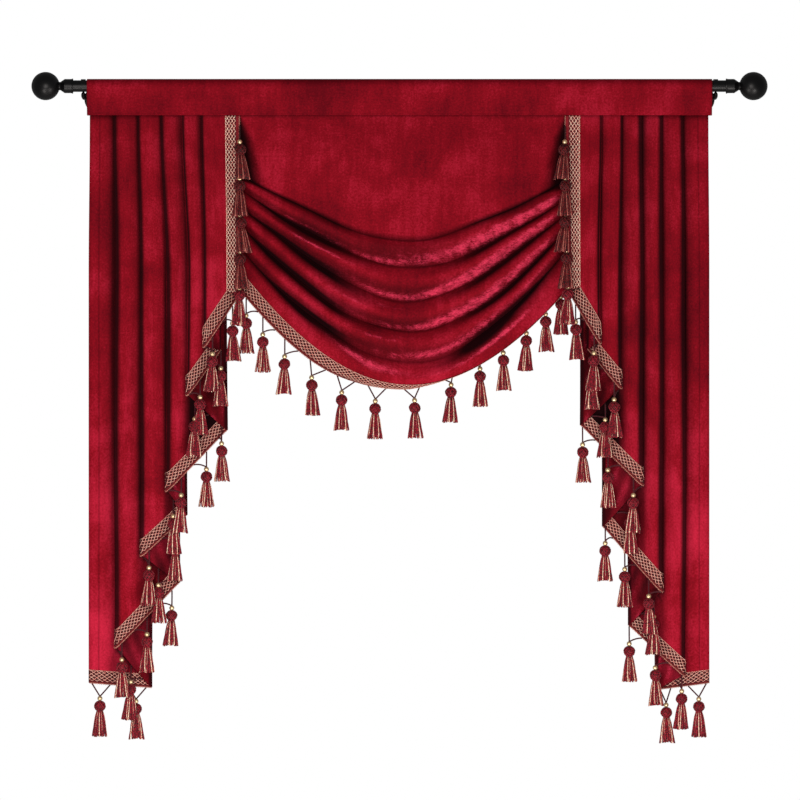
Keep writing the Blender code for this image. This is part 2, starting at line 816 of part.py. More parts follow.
def tail_trim_stations(folds):
    # The braid's stations from the seam to the outer corner, and how each stretch's tassels lean.
    columns = tail_columns(folds)
    side = 1.0 if folds[0][0] > 0 else -1.0
    inward = Vector((-side, 0.0, 0.0))
    stations = []
    leans = []

    # Down the edge beside the swag the braid lies between the cloth's first two upright lines.
    for drop in [SEAM_DROP + 0.0012] + [row[0] for row in OPENING[1:]]:
        rows = [tail_point(folds, columns[1], drop), tail_point(folds, columns[0], drop)]
        stations.append((rows, inward))
        leans.append(LEAN_ON_EDGE)

    # At the corner it turns with a mitre on to the hem.
    hem, slope = hem_at(folds, columns[1])
    inner = hem - BRAID_WIDTH * math.hypot(1.0, slope)
    rows = [tail_point(folds, columns[1], inner), tail_point(folds, columns[0], folds[0][2])]
    stations.append((rows, inward + Vector((0.0, 0.0, slope - math.hypot(1.0, slope)))))
    for column in columns[2:]:
        hem, slope = hem_at(folds, column)
        lengthen = math.hypot(1.0, slope)
        rows = [tail_point(folds, column, hem - BRAID_WIDTH * lengthen), tail_point(folds, column, hem)]
        stations.append((rows, Vector((0.0, 0.0, -lengthen))))
        kind, number, value = column
        layer = number if kind == "flat" else number - 1
        on_face = layer % 2 == 0 and (kind == "flat" or value == -90.0)
        leans.append(LEAN_ON_FACE if on_face else LEAN_ON_RETURN)
    return stations, leans


def swag_trim_stations():
    # The braid covers the swag's hem strip.
    line = len(SWAG_FOLDS) - 1
    columns = swag_columns()
    columns[0] += SWAG_BRAID_INSET
    columns[-1] -= SWAG_BRAID_INSET
    stations = []
    for x in columns:
        shares = (0.06, 0.25, 0.5, 0.75, 1.0)
        rows = [(swag_point(line, share, x), swag_normal(line, share, x)) for share in shares]
        stations.append((rows, (rows[4][0] - rows[3][0]).normalized()))
    return stations, [LEAN_ON_SWAG if x < CURLED_FROM else LEAN_BEHIND_CURL for x in columns]


def make_trim(name, stations, cord, leans, thickness, gap, places, finish):
    trim = edged_braid(name, stations, thickness, gap)
    joined(trim, hang_tassels(name, loop_places(cord, places, leans)))
    trim.data.materials.clear()
    trim.data.materials.append(finish)


def make_trims():
    for name, folds in (("trim_left", LEFT_TAIL), ("trim_right", RIGHT_TAIL)):
        stations, leans = tail_trim_stations(folds)
        finish = material(name + "_braid", GOLD_BRAID, 0.75)
        cord = cord_path(stations, TAIL_THICKNESS, CLEARANCE)
        places = even_places(cord, *TAIL_TRIM_ENDS, TASSELS_ON_TAIL)
        make_trim(name, stations, cord, leans, TAIL_THICKNESS, CLEARANCE, places, finish)
    stations, leans = swag_trim_stations()
    finish = material("trim_swag_braid", GOLD_BRAID, 0.75)
    cord = cord_path(stations, SWAG_THICKNESS, 3 * CLEARANCE)
    places = places_over(cord, SWAG_TASSELS)
    make_trim("trim_swag", stations, cord, leans, SWAG_THICKNESS, 3 * CLEARANCE, places, finish)


clear_scene()
make_rod(material("rod_black", SATIN_BLACK, 0.35, 0.6))
make_finial("finial_left", -1.0, material("finial_left_black", SATIN_BLACK, 0.35, 0.6))
make_finial("finial_right", 1.0, material("finial_right_black", SATIN_BLACK, 0.35, 0.6))
make_bracket("bracket_left", -1.0, material("bracket_left_black", SATIN_BLACK, 0.35, 0.6))
make_bracket("bracket_right", 1.0, material("bracket_right_black", SATIN_BLACK, 0.35, 0.6))
make_rod_pocket(material("rod_pocket_cloth", BURGUNDY, 0.85))
make_swag(material("swag_cloth", BURGUNDY, 0.85))
make_tail("tail_left", LEFT_TAIL, material("tail_left_cloth", BURGUNDY, 0.85))
make_tail("tail_right", RIGHT_TAIL, material("tail_right_cloth", BURGUNDY, 0.85))
make_trims()
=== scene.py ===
# The looks of the swag valance: its chenille, its tasselled braid and the black rod it hangs on.
# Metres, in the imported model's frame: X along the rod, Z up, the wall at y = 0, the room at -Y.

import math

import bpy
import numpy as np
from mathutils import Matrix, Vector


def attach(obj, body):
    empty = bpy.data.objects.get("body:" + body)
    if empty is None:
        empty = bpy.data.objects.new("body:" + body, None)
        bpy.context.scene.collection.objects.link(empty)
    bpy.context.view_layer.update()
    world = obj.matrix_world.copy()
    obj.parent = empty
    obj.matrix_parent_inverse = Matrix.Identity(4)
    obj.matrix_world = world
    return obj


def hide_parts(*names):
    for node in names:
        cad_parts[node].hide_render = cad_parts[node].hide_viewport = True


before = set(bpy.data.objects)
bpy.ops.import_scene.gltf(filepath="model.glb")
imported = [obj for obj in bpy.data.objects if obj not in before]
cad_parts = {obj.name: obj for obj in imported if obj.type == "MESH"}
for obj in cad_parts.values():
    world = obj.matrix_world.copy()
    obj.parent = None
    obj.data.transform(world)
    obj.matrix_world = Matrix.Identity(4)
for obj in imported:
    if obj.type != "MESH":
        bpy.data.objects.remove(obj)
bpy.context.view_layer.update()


# Curtain rod
# A steel tube 28 mm across, sprayed satin black and baked. It runs inside the rod pocket, rests in
# the two brackets' cups, and its ends are pushed into the finials.

ROD_RADIUS = 0.014
ROD_FROM_WALL = 0.080
ROD_HEIGHT = 0.028
ROD_HALF_LENGTH = 0.800
ROD_WALL = 0.0012
BORE_DEPTH = 0.010
EDGE_BREAK = 0.0003
TURNED_SIDES = 64
AXIS_PLACE = Vector((0.0, -ROD_FROM_WALL, ROD_HEIGHT))


def linear(code):
    # An sRGB hex value as the linear colour that a shader takes.
    parts = [int(code[i:i + 2], 16) / 255.0 for i in (1, 3, 5)]
    shares = (p / 12.92 if p <= 0.04045 else ((p + 0.055) / 1.055) ** 2.4 for p in parts)
    return tuple(shares) + (1.0,)


def add_node(tree, kind, values=None, links=None, **options):
    # One node with its options, its sockets' values and the outputs that feed them.
    node = tree.nodes.new(kind)
    for option, value in options.items():
        setattr(node, option, value)
    for socket, value in (values or {}).items():
        node.inputs[socket].default_value = value
    for socket, source in (links or {}).items():
        tree.links.new(source, node.inputs[socket])
    return node


def new_finish(name, colour, **sockets):
    # A material with its shader's own values, returned with its node tree and shader.
    made = bpy.data.materials.new(name)
    made.use_nodes = True
    made.diffuse_color = linear(colour)
    shader = made.node_tree.nodes["Principled BSDF"]
    shader.inputs["Base Color"].default_value = linear(colour)
    for socket, value in sockets.items():
        shader.inputs[socket.replace("_", " ")].default_value = value
    return made, made.node_tree, shader


def noise(tree, scale, vector, **values):
    # The value of a noise, with its scale for each metre.
    return add_node(
        tree, "ShaderNodeTexNoise", {"Scale": scale, **values}, {"Vector": vector}).outputs["Fac"]


def ranged(tree, value, low=0.0, high=1.0, to_low=0.0, to_high=1.0):
    # A value brought from one range into another and kept inside it.
    ends = {"From Min": low, "From Max": high, "To Min": to_low, "To Max": to_high}
    return add_node(tree, "ShaderNodeMapRange", ends, {"Value": value}).outputs["Result"]


def bumped(tree, height, strength, distance, **links):
    # The normal of a surface that a value raises by up to a distance.
    return add_node(
        tree, "ShaderNodeBump", {"Strength": strength, "Distance": distance},
        {"Height": height, **links}).outputs["Normal"]


# Satin black spray on steel, baked: near black, an even half gloss, with a faint orange peel.
PEEL_SIZE = 0.0018
PEEL_DEPTH = 0.0003
satin_black, tree, shader = new_finish(
    "satin_black_sprayed_steel", "#050506", Roughness=0.33, Specular_IOR_Level=0.22)
place = add_node(tree, "ShaderNodeTexCoord").outputs["Object"]
peel = noise(tree, 1.0 / PEEL_SIZE, place, Detail=1.0)
handled = noise(tree, 38.0, place, Detail=3.0)
tree.links.new(bumped(tree, peel, 0.12, PEEL_DEPTH), shader.inputs["Normal"])
tree.links.new(ranged(tree, handled, to_low=0.30, to_high=0.42), shader.inputs["Roughness"])


def take_up(piece):
    # Makes one piece the only selected one and the active one.
    bpy.ops.object.select_all(action="DESELECT")
    piece.select_set(True)
    bpy.context.view_layer.objects.active = piece


def in_edit(piece):
    # Opens one piece in edit mode with nothing of it selected.
    take_up(piece)
    bpy.ops.object.mode_set(mode="EDIT")
    bpy.ops.mesh.select_all(action="DESELECT")


def apply_place(piece):
    # Puts a new piece's own place and turn into its points.
    take_up(piece)
    bpy.ops.object.transform_apply(location=True, rotation=True, scale=True)
    return piece


def turned_along_rod(name, start, profile, side=1.0):
    # A circle across the rod's axis, drawn out in steps: profile holds (x, radius) after the first.
    x, radius = start
    bpy.ops.mesh.primitive_circle_add(
        vertices=TURNED_SIDES, radius=radius, fill_type="NOTHING",
        location=AXIS_PLACE + Vector((side * x, 0.0, 0.0)), rotation=(0.0, math.pi / 2, 0.0))
    piece = apply_place(bpy.context.object)
    piece.name = name
    in_edit(piece)
    bpy.ops.mesh.select_all(action="SELECT")
    for next_x, next_radius in profile:
        bpy.ops.mesh.extrude_edges_move(
            TRANSFORM_OT_translate={"value": (side * (next_x - x), 0.0, 0.0)})
        share = next_radius / radius
        centre = AXIS_PLACE + Vector((side * next_x, 0.0, 0.0))
        bpy.ops.transform.resize(value=(1.0, share, share), center_override=centre)
        x, radius = next_x, next_radius
    close_and_leave()
    return piece


def close_and_leave():
    # Fills the open rings of the piece in edit mode, points its faces outwards and leaves it.
    bpy.ops.mesh.select_all(action="DESELECT")
    bpy.ops.mesh.select_mode(type="EDGE")
    bpy.ops.mesh.select_non_manifold()
    bpy.ops.mesh.edge_face_add()
    bpy.ops.mesh.select_all(action="SELECT")
    bpy.ops.mesh.normals_make_consistent(inside=False)
    bpy.ops.object.mode_set(mode="OBJECT")


def finished(piece, finish, node, smooth_angle=None):
    # Gives a piece its finish and its body, and hides the solid of the model that it stands for.
    piece.data.materials.clear()
    for one in finish:
        piece.data.materials.append(one)
    if smooth_angle is not None:
        take_up(piece)
        bpy.ops.object.shade_smooth_by_angle(angle=math.radians(smooth_angle))
    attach(piece, "root")
    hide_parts(node)


bore = ROD_RADIUS - ROD_WALL
rod = turned_along_rod("curtain_rod", (-ROD_HALF_LENGTH + BORE_DEPTH, bore), [
    (-ROD_HALF_LENGTH, bore),
    (-ROD_HALF_LENGTH, ROD_RADIUS - EDGE_BREAK),
    (-ROD_HALF_LENGTH + EDGE_BREAK, ROD_RADIUS),
    (ROD_HALF_LENGTH - EDGE_BREAK, ROD_RADIUS),
    (ROD_HALF_LENGTH, ROD_RADIUS - EDGE_BREAK),
    (ROD_HALF_LENGTH, bore),
    (ROD_HALF_LENGTH - BORE_DEPTH, bore),
])
finished(rod, [satin_black], "rod", 35)


# Finials
# One turned and sprayed piece for each end: a cup with a small lip pushed over the rod, a short
# cone and neck, and a plain ball 68 mm across.

COLLAR_RADIUS = 0.017
COLLAR_START = 0.7836
COLLAR_LENGTH = 0.0216
LIP = 0.0010
BALL_RADIUS = 0.034
BALL_CENTRE = 0.8496
NECK_RADIUS = 0.0100
FIT = 0.0004
BALL_STEPS = 26

cup_end = COLLAR_START + COLLAR_LENGTH
neck_turn = math.asin(NECK_RADIUS / BALL_RADIUS)
finial_profile = [
    (COLLAR_START, ROD_RADIUS + FIT),
    (COLLAR_START, COLLAR_RADIUS + LIP * 0.6),
    (COLLAR_START + 0.0006, COLLAR_RADIUS + LIP),
    (COLLAR_START + 0.0028, COLLAR_RADIUS + LIP),
    (COLLAR_START + 0.0034, COLLAR_RADIUS),
    (cup_end - 0.0012, COLLAR_RADIUS),
    (cup_end, COLLAR_RADIUS - 0.0012),
    (cup_end + 0.0060, NECK_RADIUS + 0.0020),
    (cup_end + 0.0085, NECK_RADIUS),
]
for step in range(BALL_STEPS):
    turn = neck_turn + (math.pi - neck_turn) * step / BALL_STEPS
    finial_profile.append((
        BALL_CENTRE - BALL_RADIUS * math.cos(turn), BALL_RADIUS * math.sin(turn)))
finial_profile.append((BALL_CENTRE + BALL_RADIUS, 0.0006))

for name, side in (("left", -1.0), ("right", 1.0)):
    finial = turned_along_rod(
        "ball_finial_" + name, (ROD_HALF_LENGTH + FIT, ROD_RADIUS + FIT), finial_profile, side)
    finished(finial, [satin_black], "finial_" + name, 40)


# Brackets
# A pressed round plate screwed flat to the wall, a cranked arm of round bar welded to it, and a
# half-ring cup in which the rod rests. Sprayed with the rod.

PLATE_RADIUS = 0.0345
PLATE_THICKNESS = 0.006
PLATE_X = 0.7255
PLATE_EDGE = 0.0015
ARM_RADIUS = 0.0055
CUP_X = 0.7590
CUP_WIDTH = 0.011
CUP_THICKNESS = 0.0022
SCREW_RADIUS = 0.0045
SCREW_THICKNESS = 0.0016
SCREW_FROM_CENTRE = 0.022
RECESS_DEPTH = 0.0009


def wall_disc(x, z, back, radius, thickness, sides):
    # A round blank that faces the room, its back at a distance in front of the wall. It is left in
    # object mode with nothing of it selected.
    bpy.ops.mesh.primitive_cylinder_add(
        vertices=sides, radius=radius, depth=thickness,
        location=(x, -back - thickness / 2, z), rotation=(math.pi / 2, 0.0, 0.0))
    disc = apply_place(bpy.context.object)
    in_edit(disc)
    bpy.ops.object.mode_set(mode="OBJECT")
    return disc


def plate_on_wall(x):
    # The plate, bevelled round its front edge.
    plate = wall_disc(x, 0.0, 0.0, PLATE_RADIUS, PLATE_THICKNESS, 72)
    for edge in plate.data.edges:
        ends = [plate.data.vertices[i].co.y for i in edge.vertices]
        edge.select = max(ends) < -PLATE_THICKNESS * 0.9
    bpy.ops.object.mode_set(mode="EDIT")
    bpy.ops.mesh.bevel(offset=PLATE_EDGE, segments=4, affect="EDGES")
    bpy.ops.object.mode_set(mode="OBJECT")
    return plate


def screw_head(x, z):
    # A screw head with a round recess pressed in by two insets and a short move back.
    head = wall_disc(x, z, PLATE_THICKNESS, SCREW_RADIUS, SCREW_THICKNESS, 24)
    for face in head.data.polygons:
        face.select = face.normal.y < -0.9
    bpy.ops.object.mode_set(mode="EDIT")
    bpy.ops.mesh.inset(thickness=SCREW_RADIUS * 0.35, depth=0.0005)
    bpy.ops.mesh.inset(thickness=SCREW_RADIUS * 0.25, depth=0.0)
    bpy.ops.transform.translate(value=(0.0, RECESS_DEPTH, 0.0))
    bpy.ops.object.mode_set(mode="OBJECT")
    return head


def cranked_arm(side):
    # A round bar bent through a route from the plate to under the rod, and thinned at its end.
    route = [
        Vector((PLATE_X, -PLATE_THICKNESS + 0.001, 0.0)),
        Vector((PLATE_X, -0.034, 0.0)),
        Vector((PLATE_X + 0.001, -0.040, 0.0)),
        Vector((PLATE_X + 0.007, -0.047, 0.0)),
        Vector((CUP_X - 0.006, -0.0555, 0.0002)),
        Vector((CUP_X - 0.001, -0.0620, 0.0012)),
        Vector((CUP_X, -0.0680, 0.0036)),
        Vector((CUP_X, -0.0760, 0.0082)),
        Vector((CUP_X, -ROD_FROM_WALL, ROD_HEIGHT - ROD_RADIUS - FIT - CUP_THICKNESS * 0.7)),
    ]
    curve = bpy.data.curves.new("cranked_arm", "CURVE")
    curve.dimensions = "3D"
    curve.bevel_depth = ARM_RADIUS
    curve.bevel_resolution = 5
    curve.use_fill_caps = True
    line = curve.splines.new("POLY")
    line.points.add(len(route) - 1)
    for point, bend in zip(line.points, route):
        point.co = (side * bend.x, bend.y, bend.z, 1.0)
        point.radius = 1.0 if bend != route[-1] else 0.6
    arm = bpy.data.objects.new("cranked_arm", curve)
    bpy.context.collection.objects.link(arm)
    take_up(arm)
    bpy.ops.object.convert(target="MESH")
    return bpy.context.object


def rod_cup(side):
    # A flat strip spun from in front of the rod half way round it, below, and closed at its ends.
    centre = (side * CUP_X, -ROD_FROM_WALL, ROD_HEIGHT)
    inner = ROD_RADIUS + FIT
    bpy.ops.mesh.primitive_plane_add(size=1.0, location=(centre[0], centre[1] - inner, centre[2]))
    cup = bpy.context.object
    bpy.ops.object.mode_set(mode="EDIT")
    bpy.ops.transform.resize(value=(CUP_WIDTH, CUP_THICKNESS, 1.0))
    bpy.ops.transform.translate(value=(0.0, -CUP_THICKNESS / 2, 0.0))
    bpy.ops.mesh.spin(steps=28, angle=math.pi, center=centre, axis=(1.0, 0.0, 0.0))
    bpy.ops.object.mode_set(mode="OBJECT")
    in_edit(apply_place(cup))
    close_and_leave()
    return cup


for name, side in (("left", -1.0), ("right", 1.0)):
    bracket = plate_on_wall(side * PLATE_X)
    screws = [screw_head(side * PLATE_X, z) for z in (SCREW_FROM_CENTRE, -SCREW_FROM_CENTRE)]
    others = [cranked_arm(side), rod_cup(side)] + screws
    take_up(bracket)
    for other in others:
        other.select_set(True)
    bpy.ops.object.join()
    bracket.name = "rod_bracket_" + name
    finished(bracket, [satin_black], "bracket_" + name, 35)


# Rod pocket
# A band of burgundy chenille doubled over the rod, its two plies sewn together below it with the
# tops of the swag and tails between them. The ends are left open for the rod.

HEADER_HALF_LENGTH = 0.750
POCKET_RADIUS = 0.0163
POCKET_SAG = 0.0014
HEADER_THICKNESS = 0.0022
SEAM_DROP = 0.070
PLEAT_FRONT = 0.084
TAIL_THICKNESS = 0.0016
BACK_OF_SWAG = 0.0062
BACK_OF_TAILS = 0.0205
PACKED_FROM = 0.36
PACKED_OVER = 0.07
BELLY_DROP = 0.035
TOPSTITCH_ABOVE_EDGE = 0.0035
HEADER_COLUMNS = 240
HEADER_ROWS = 60


def spot(x, forward, drop):
    # Points by their distance in front of the wall and their drop below the rod's axis.
    x, forward, drop = np.broadcast_arrays(x, forward, drop)
    return np.stack([x, -forward, ROD_HEIGHT - drop], axis=-1).astype(float)


def smooth_step(share):
    # An even rise from 0 to 1 with soft ends.
    share = np.clip(share, 0.0, 1.0)
    return share * share * (3.0 - 2.0 * share)

def edge_distance(line):
    # How far along a line each of its points lies.
    return np.concatenate([[0.0], np.cumsum(np.linalg.norm(np.diff(line, axis=0), axis=1))])


def on_line(line, gone, at):
    # The points of a line at given places along it.
    return np.stack([np.interp(at, gone, line[:, k]) for k in range(line.shape[1])], axis=-1)


def smooth_path(points, count):
    # A curve through the points, as count points evenly spaced along it.
    points = np.asarray(points, float)
    ends = np.vstack([2 * points[0] - points[1], points, 2 * points[-1] - points[-2]])
    fine = []
    for i in range(1, len(ends) - 2):
        a, b, c, d = ends[i - 1:i + 3]
        for share in np.linspace(0.0, 1.0, 12, endpoint=False):
            fine.append(0.5 * (
                2 * b + (c - a) * share + (2 * a - 5 * b + 4 * c - d) * share ** 2
                + (3 * b - a - 3 * c + d) * share ** 3))
    fine.append(ends[-2])
    fine = np.array(fine)
    gone = edge_distance(fine)
    return on_line(fine, gone, np.linspace(0.0, gone[-1], count))


def cloth_normals(grid):
    # The normals of a grid of points that runs across in x and down, on the side that faces us.
    return unit(np.cross(np.gradient(grid, axis=1), np.gradient(grid, axis=0)))


def under_band(drop):
    # How much the band's lower edge shades the cloth just below it.
    return 0.55 * (1.0 - smooth_step((drop - SEAM_DROP) / 0.007))


def unit(vectors):
    # Vectors brought to a length of one.
    return vectors / np.maximum(np.linalg.norm(vectors, axis=-1, keepdims=True), 1e-12)


def lengths_along(grid, axis):
    # How far along its cloth each point of a grid lies from the first of its row or column.
    steps = np.linalg.norm(np.diff(grid, axis=axis), axis=-1)
    first = np.zeros_like(np.take(steps, [0], axis=axis))
    return np.cumsum(np.concatenate([first, steps], axis=axis), axis=axis)


def cloth_piece(name, grid, thickness, across, flipped=False, **fields):
    # A cloth of the grid's points, thickened to both sides. Its UV is in metres: across for each
    # column, and down along the cloth. Each field is a value at every point for the material.
    columns, rows = grid.shape[:2]
    mesh = bpy.data.meshes.new(name)
    faces = []
    for i in range(columns - 1):
        for j in range(rows - 1):
            a = i * rows + j
            face = (a, a + 1, a + rows + 1, a + rows)
            faces.append(face[::-1] if flipped else face)
    mesh.from_pydata(grid.reshape(-1, 3).tolist(), [], faces)
    across = np.broadcast_to(across[:, None], (columns, rows))
    flat = np.stack([across, lengths_along(grid, 1)], axis=-1).reshape(-1, 2)
    layer = mesh.uv_layers.new(name="cloth")
    layer.data.foreach_set("uv", flat[np.array(faces).ravel()].ravel())
    for field, values in fields.items():
        values = np.broadcast_to(values, (columns, rows)).ravel().astype(np.float32)
        mesh.attributes.new(field, "FLOAT", "POINT").data.foreach_set("value", values)
    mesh.shade_smooth()
    piece = bpy.data.objects.new(name, mesh)
    bpy.context.collection.objects.link(piece)
    wall = piece.modifiers.new("thickness", "SOLIDIFY")
    wall.thickness = thickness
    wall.offset = 0.0
    wall.use_even_offset = False
    wall.material_offset = 1
    take_up(piece)
    bpy.ops.object.modifier_apply(modifier=wall.name)
    return piece


# Burgundy chenille: a short dense cut pile of fine cotton and viscose, woven and brushed. It is
# matt with a soft sheen at the folds and clouded where the pile lies different ways. Where the
# folds have crushed it, pink flecks are painted in: crushed pile and a painted sheen together.
# Painted shade darkens it in deep folds, and painted light makes its tone lighter or darker.
PILE_TUFT = 0.0050  # The real tufts are 1.5 mm apart, which is too fine to show.
PILE_CLOUD = 0.150
STROKE_WIDTH = 0.013
STROKE_LENGTH = 0.075
CRUSH_LENGTH = 0.0085
CRUSH_WIDTH = 0.0030
CRUSH_PATCH = 0.020


def maths(tree, operation, *terms, clamped=False):
    # One step of arithmetic on numbers and on other nodes' outputs.
    numbers = {i: term for i, term in enumerate(terms) if isinstance(term, float)}
    outputs = {i: term for i, term in enumerate(terms) if i not in numbers}
    return add_node(
        tree, "ShaderNodeMath", numbers, outputs, operation=operation,
        use_clamp=clamped).outputs["Value"]


def stretched(tree, vector, length, width):
    # Coordinates in which a feature of this length and width measures one.
    return add_node(
        tree, "ShaderNodeMapping", {"Scale": (1.0 / length, 1.0 / width, 1.0)},
        {"Vector": vector}).outputs["Vector"]


def field(tree, name):
    # A value that the mesh holds at each of its points.
    return add_node(tree, "ShaderNodeAttribute", attribute_name=name).outputs["Fac"]


def shaded(tree, value, *stops):
    # A value as a colour, through (value, hex colour) stops.
    node = add_node(tree, "ShaderNodeValToRGB", links={"Fac": value})
    ramp = node.color_ramp.elements
    ramp[0].position, ramp[1].position = stops[0][0], stops[-1][0]
    for place, _ in stops[1:-1]:
        ramp.new(place)
    for element, (_, code) in zip(ramp, stops):
        element.color = linear(code)
    return node.outputs["Color"]


def mixed(tree, share, colour, other, **options):
    # A colour with a share of another laid over it.
    return add_node(
        tree, "ShaderNodeMix", {7: linear(other)}, {0: share, 6: colour}, data_type="RGBA",
        **options).outputs[2]


def chenille_finish(name, base, light, dark):
    made, tree, shader = new_finish(
        name, base, Roughness=0.86, Specular_IOR_Level=0.05, Sheen_Weight=0.16,
        Sheen_Roughness=0.42, Sheen_Tint=linear("#d0142e"))
    cloth = add_node(tree, "ShaderNodeUVMap", uv_map="cloth").outputs["UV"]
    place = add_node(tree, "ShaderNodeTexCoord").outputs["Object"]
    tufts = noise(tree, 1.0 / PILE_TUFT, cloth, Detail=3.0, Roughness=0.65)
    clouds = noise(tree, 1.0 / PILE_CLOUD, place, Detail=6.0, Roughness=0.58, Distortion=0.3)
    strokes = noise(tree, 1.0, stretched(tree, cloth, STROKE_WIDTH, STROKE_LENGTH), Detail=2.0)
    pile = maths(tree, "MULTIPLY", tufts, 0.32)
    pile = maths(tree, "MULTIPLY_ADD", clouds, 0.54, pile)
    pile = maths(tree, "MULTIPLY_ADD", strokes, 0.14, pile)
    # Painted light from the mesh raises or lowers the pile's tone.
    pile = maths(tree, "MULTIPLY_ADD", field(tree, "nap"), 0.075, pile)
    shades = shaded(tree, pile, (0.36, dark), (0.50, base), (0.70, light))

    # Painted shade: the mesh's painted shade value mixes the colour towards near black in the deep
    # folds, the tucked corners and the other places where shade falls.
    with_painted_shade = mixed(tree, field(tree, "hollow"), shades, "#0a0103")

    # Crushed pile with a painted sheen: short bright pink flecks that run along the fold.
    crushed = field(tree, "crushed")
    along = stretched(tree, cloth, CRUSH_LENGTH, CRUSH_WIDTH)
    flecks = noise(tree, 1.0, along, Detail=4.0, Roughness=0.75, Distortion=1.4)
    edge = noise(tree, 1.0 / CRUSH_PATCH, cloth, Detail=2.0)
    edge = maths(tree, "MULTIPLY_ADD", edge, 0.45, flecks)
    edge = maths(tree, "MULTIPLY_ADD", crushed, 0.26, edge)
    shown = maths(tree, "MULTIPLY", ranged(tree, edge, 0.84, 1.09), crushed, clamped=True)
    tree.links.new(mixed(tree, shown, with_painted_shade, "#cc3452"), shader.inputs["Base Color"])

    fine = bumped(tree, tufts, 0.55, 0.0009)
    streaked = maths(tree, "MULTIPLY", flecks, crushed)
    tree.links.new(bumped(tree, streaked, 0.9, 0.0016, Normal=fine), shader.inputs["Normal"])
    return made


burgundy_chenille = chenille_finish("burgundy_cut_pile_chenille", "#7a0817", "#ae1d36", "#580410")
chenille_reverse = chenille_finish("burgundy_chenille_reverse", "#560712", "#6a0c1a", "#3c040b")
chenille_sides = [burgundy_chenille, chenille_reverse]

header_x = np.linspace(-HEADER_HALF_LENGTH, HEADER_HALF_LENGTH, HEADER_COLUMNS)
header_grid = np.zeros((HEADER_COLUMNS, HEADER_ROWS, 3))
header_middle = POCKET_RADIUS + HEADER_THICKNESS / 2
header_front = PLEAT_FRONT + TAIL_THICKNESS / 2 + 0.0006 + HEADER_THICKNESS / 2
for i, x in enumerate(header_x):
    # Behind the pleats the back ply stands further back than behind the flat top of the swag.
    packed = float(smooth_step((abs(x) - PACKED_FROM) / PACKED_OVER))
    behind = BACK_OF_SWAG + (BACK_OF_TAILS - BACK_OF_SWAG) * packed
    back = PLEAT_FRONT - behind - HEADER_THICKNESS / 2
    waver = 0.0012 * math.sin(x * 23.0) + 0.0008 * math.sin(x * 51.0 + 1.0)
    waver += 0.0005 * math.sin(x * 117.0 + 2.0)
    end_flare = 0.0016 * max(0.0, (abs(x) - 0.73) / 0.02)
    rear_belly = back + (ROD_FROM_WALL - header_middle - back) * 0.55
    profile = [(back, SEAM_DROP), (rear_belly, BELLY_DROP)]
    for turn in range(205, -31, -15):
        angle = math.radians(turn)
        forward = ROD_FROM_WALL + header_middle * math.cos(angle)
        profile.append((forward, POCKET_SAG - header_middle * math.sin(angle)))
    belly = header_front + (ROD_FROM_WALL + header_middle - header_front) * 0.45
    stitched = header_front + waver * 0.3 + end_flare * 0.5
    profile.append((belly + waver + end_flare, BELLY_DROP))
    profile.append((stitched, SEAM_DROP - 2 * TOPSTITCH_ABOVE_EDGE))
    profile.append((header_front, SEAM_DROP))
    section = smooth_path(profile, HEADER_ROWS)
    header_grid[i] = spot(x, section[:, 0], section[:, 1])

# The topstitching pulls a narrow groove along the band.
header_down = lengths_along(header_grid, 1)
from_edge = header_down[:, -1:] - header_down
groove = 0.0007 * np.exp(-((from_edge - TOPSTITCH_ABOVE_EDGE) / 0.0016) ** 2)
header_grid -= cloth_normals(header_grid) * groove[..., None]
# Painted light: the band's tone is lowered along most of its length and raised a little near its
# right end.
header_nap = -0.7 + 0.8 * smooth_step((header_x - 0.25) / 0.35)
header = cloth_piece(
    "rod_pocket_band", header_grid, HEADER_THICKNESS,
    lengths_along(header_grid, 0)[:, HEADER_ROWS // 2], hollow=0.0, crushed=0.0,
    nap=header_nap[:, None])
finished(header, chenille_sides, "rod_pocket")


# Swag
# One cut of the same chenille, flat below the band and drawn up at both sides in five deep folds,
# its lower edge curling under. The pile is crushed along the lower faces of the folds, shown with
# a painted sheen, and painted shade darkens the valleys and the top corners.

TOP_DROP = 0.066
SWAG_THICKNESS = 0.0020
SWAG_MIDDLE = 0.025
SWAG_LEFT = -0.399
SWAG_RIGHT = 0.412
SHOULDER = 0.55
SWAG_COLUMNS = 176
SWAG_ROWS_PER_LINE = 12
# How far a valley lies behind its crest, past the crest's allowance, when its painted shade is
# full.
PAINTED_SHADE_DEPTH = 0.012

# The swag's fold lines from its seam to the last crest, each a curve that sags between the sides.
# drop at the left, middle and right; how round the sag is; then how far forward of the pleats
# the cloth stands at the left side, on the shoulders, in the middle and at the right side.
# The third line and every second one after it is a valley; the lines between are crests.
SWAG_FOLDS = np.array((
    (0.066, 0.066, 0.066, 0.4, -0.0036, -0.0007, 0.0000, -0.0036),
    (0.120, 0.190, 0.124, 0.4, -0.0140, 0.0060, 0.0100, -0.0140),
    (0.209, 0.372, 0.221, 0.4, -0.0180, 0.0030, 0.0150, -0.0180),
    (0.222, 0.391, 0.244, 0.4, -0.0100, 0.0200, 0.0240, -0.0100),
    (0.238, 0.437, 0.266, 0.4, -0.0190, -0.0050, 0.0160, -0.0190),
    (0.257, 0.466, 0.279, 0.45, -0.0100, 0.0240, 0.0290, -0.0100),
    (0.277, 0.514, 0.297, 0.5, -0.0200, -0.0050, 0.0200, -0.0200),
    (0.297, 0.550, 0.315, 0.6, -0.0100, 0.0260, 0.0340, -0.0100),
    (0.318, 0.590, 0.336, 0.7, -0.0200, -0.0040, 0.0220, -0.0200),
    (0.346, 0.619, 0.360, 0.8, -0.0100, 0.0270, 0.0370, -0.0100),
    (0.370, 0.660, 0.386, 0.9, -0.0200, -0.0030, 0.0250, -0.0210),
    (0.397, 0.702, 0.424, 1.2, -0.0110, 0.0260, 0.0380, -0.0120),
    (0.415, 0.714, 0.474, 2.0, -0.0120, 0.0220, 0.0340, -0.0180),
))
LAST_LINE = len(SWAG_FOLDS) - 1

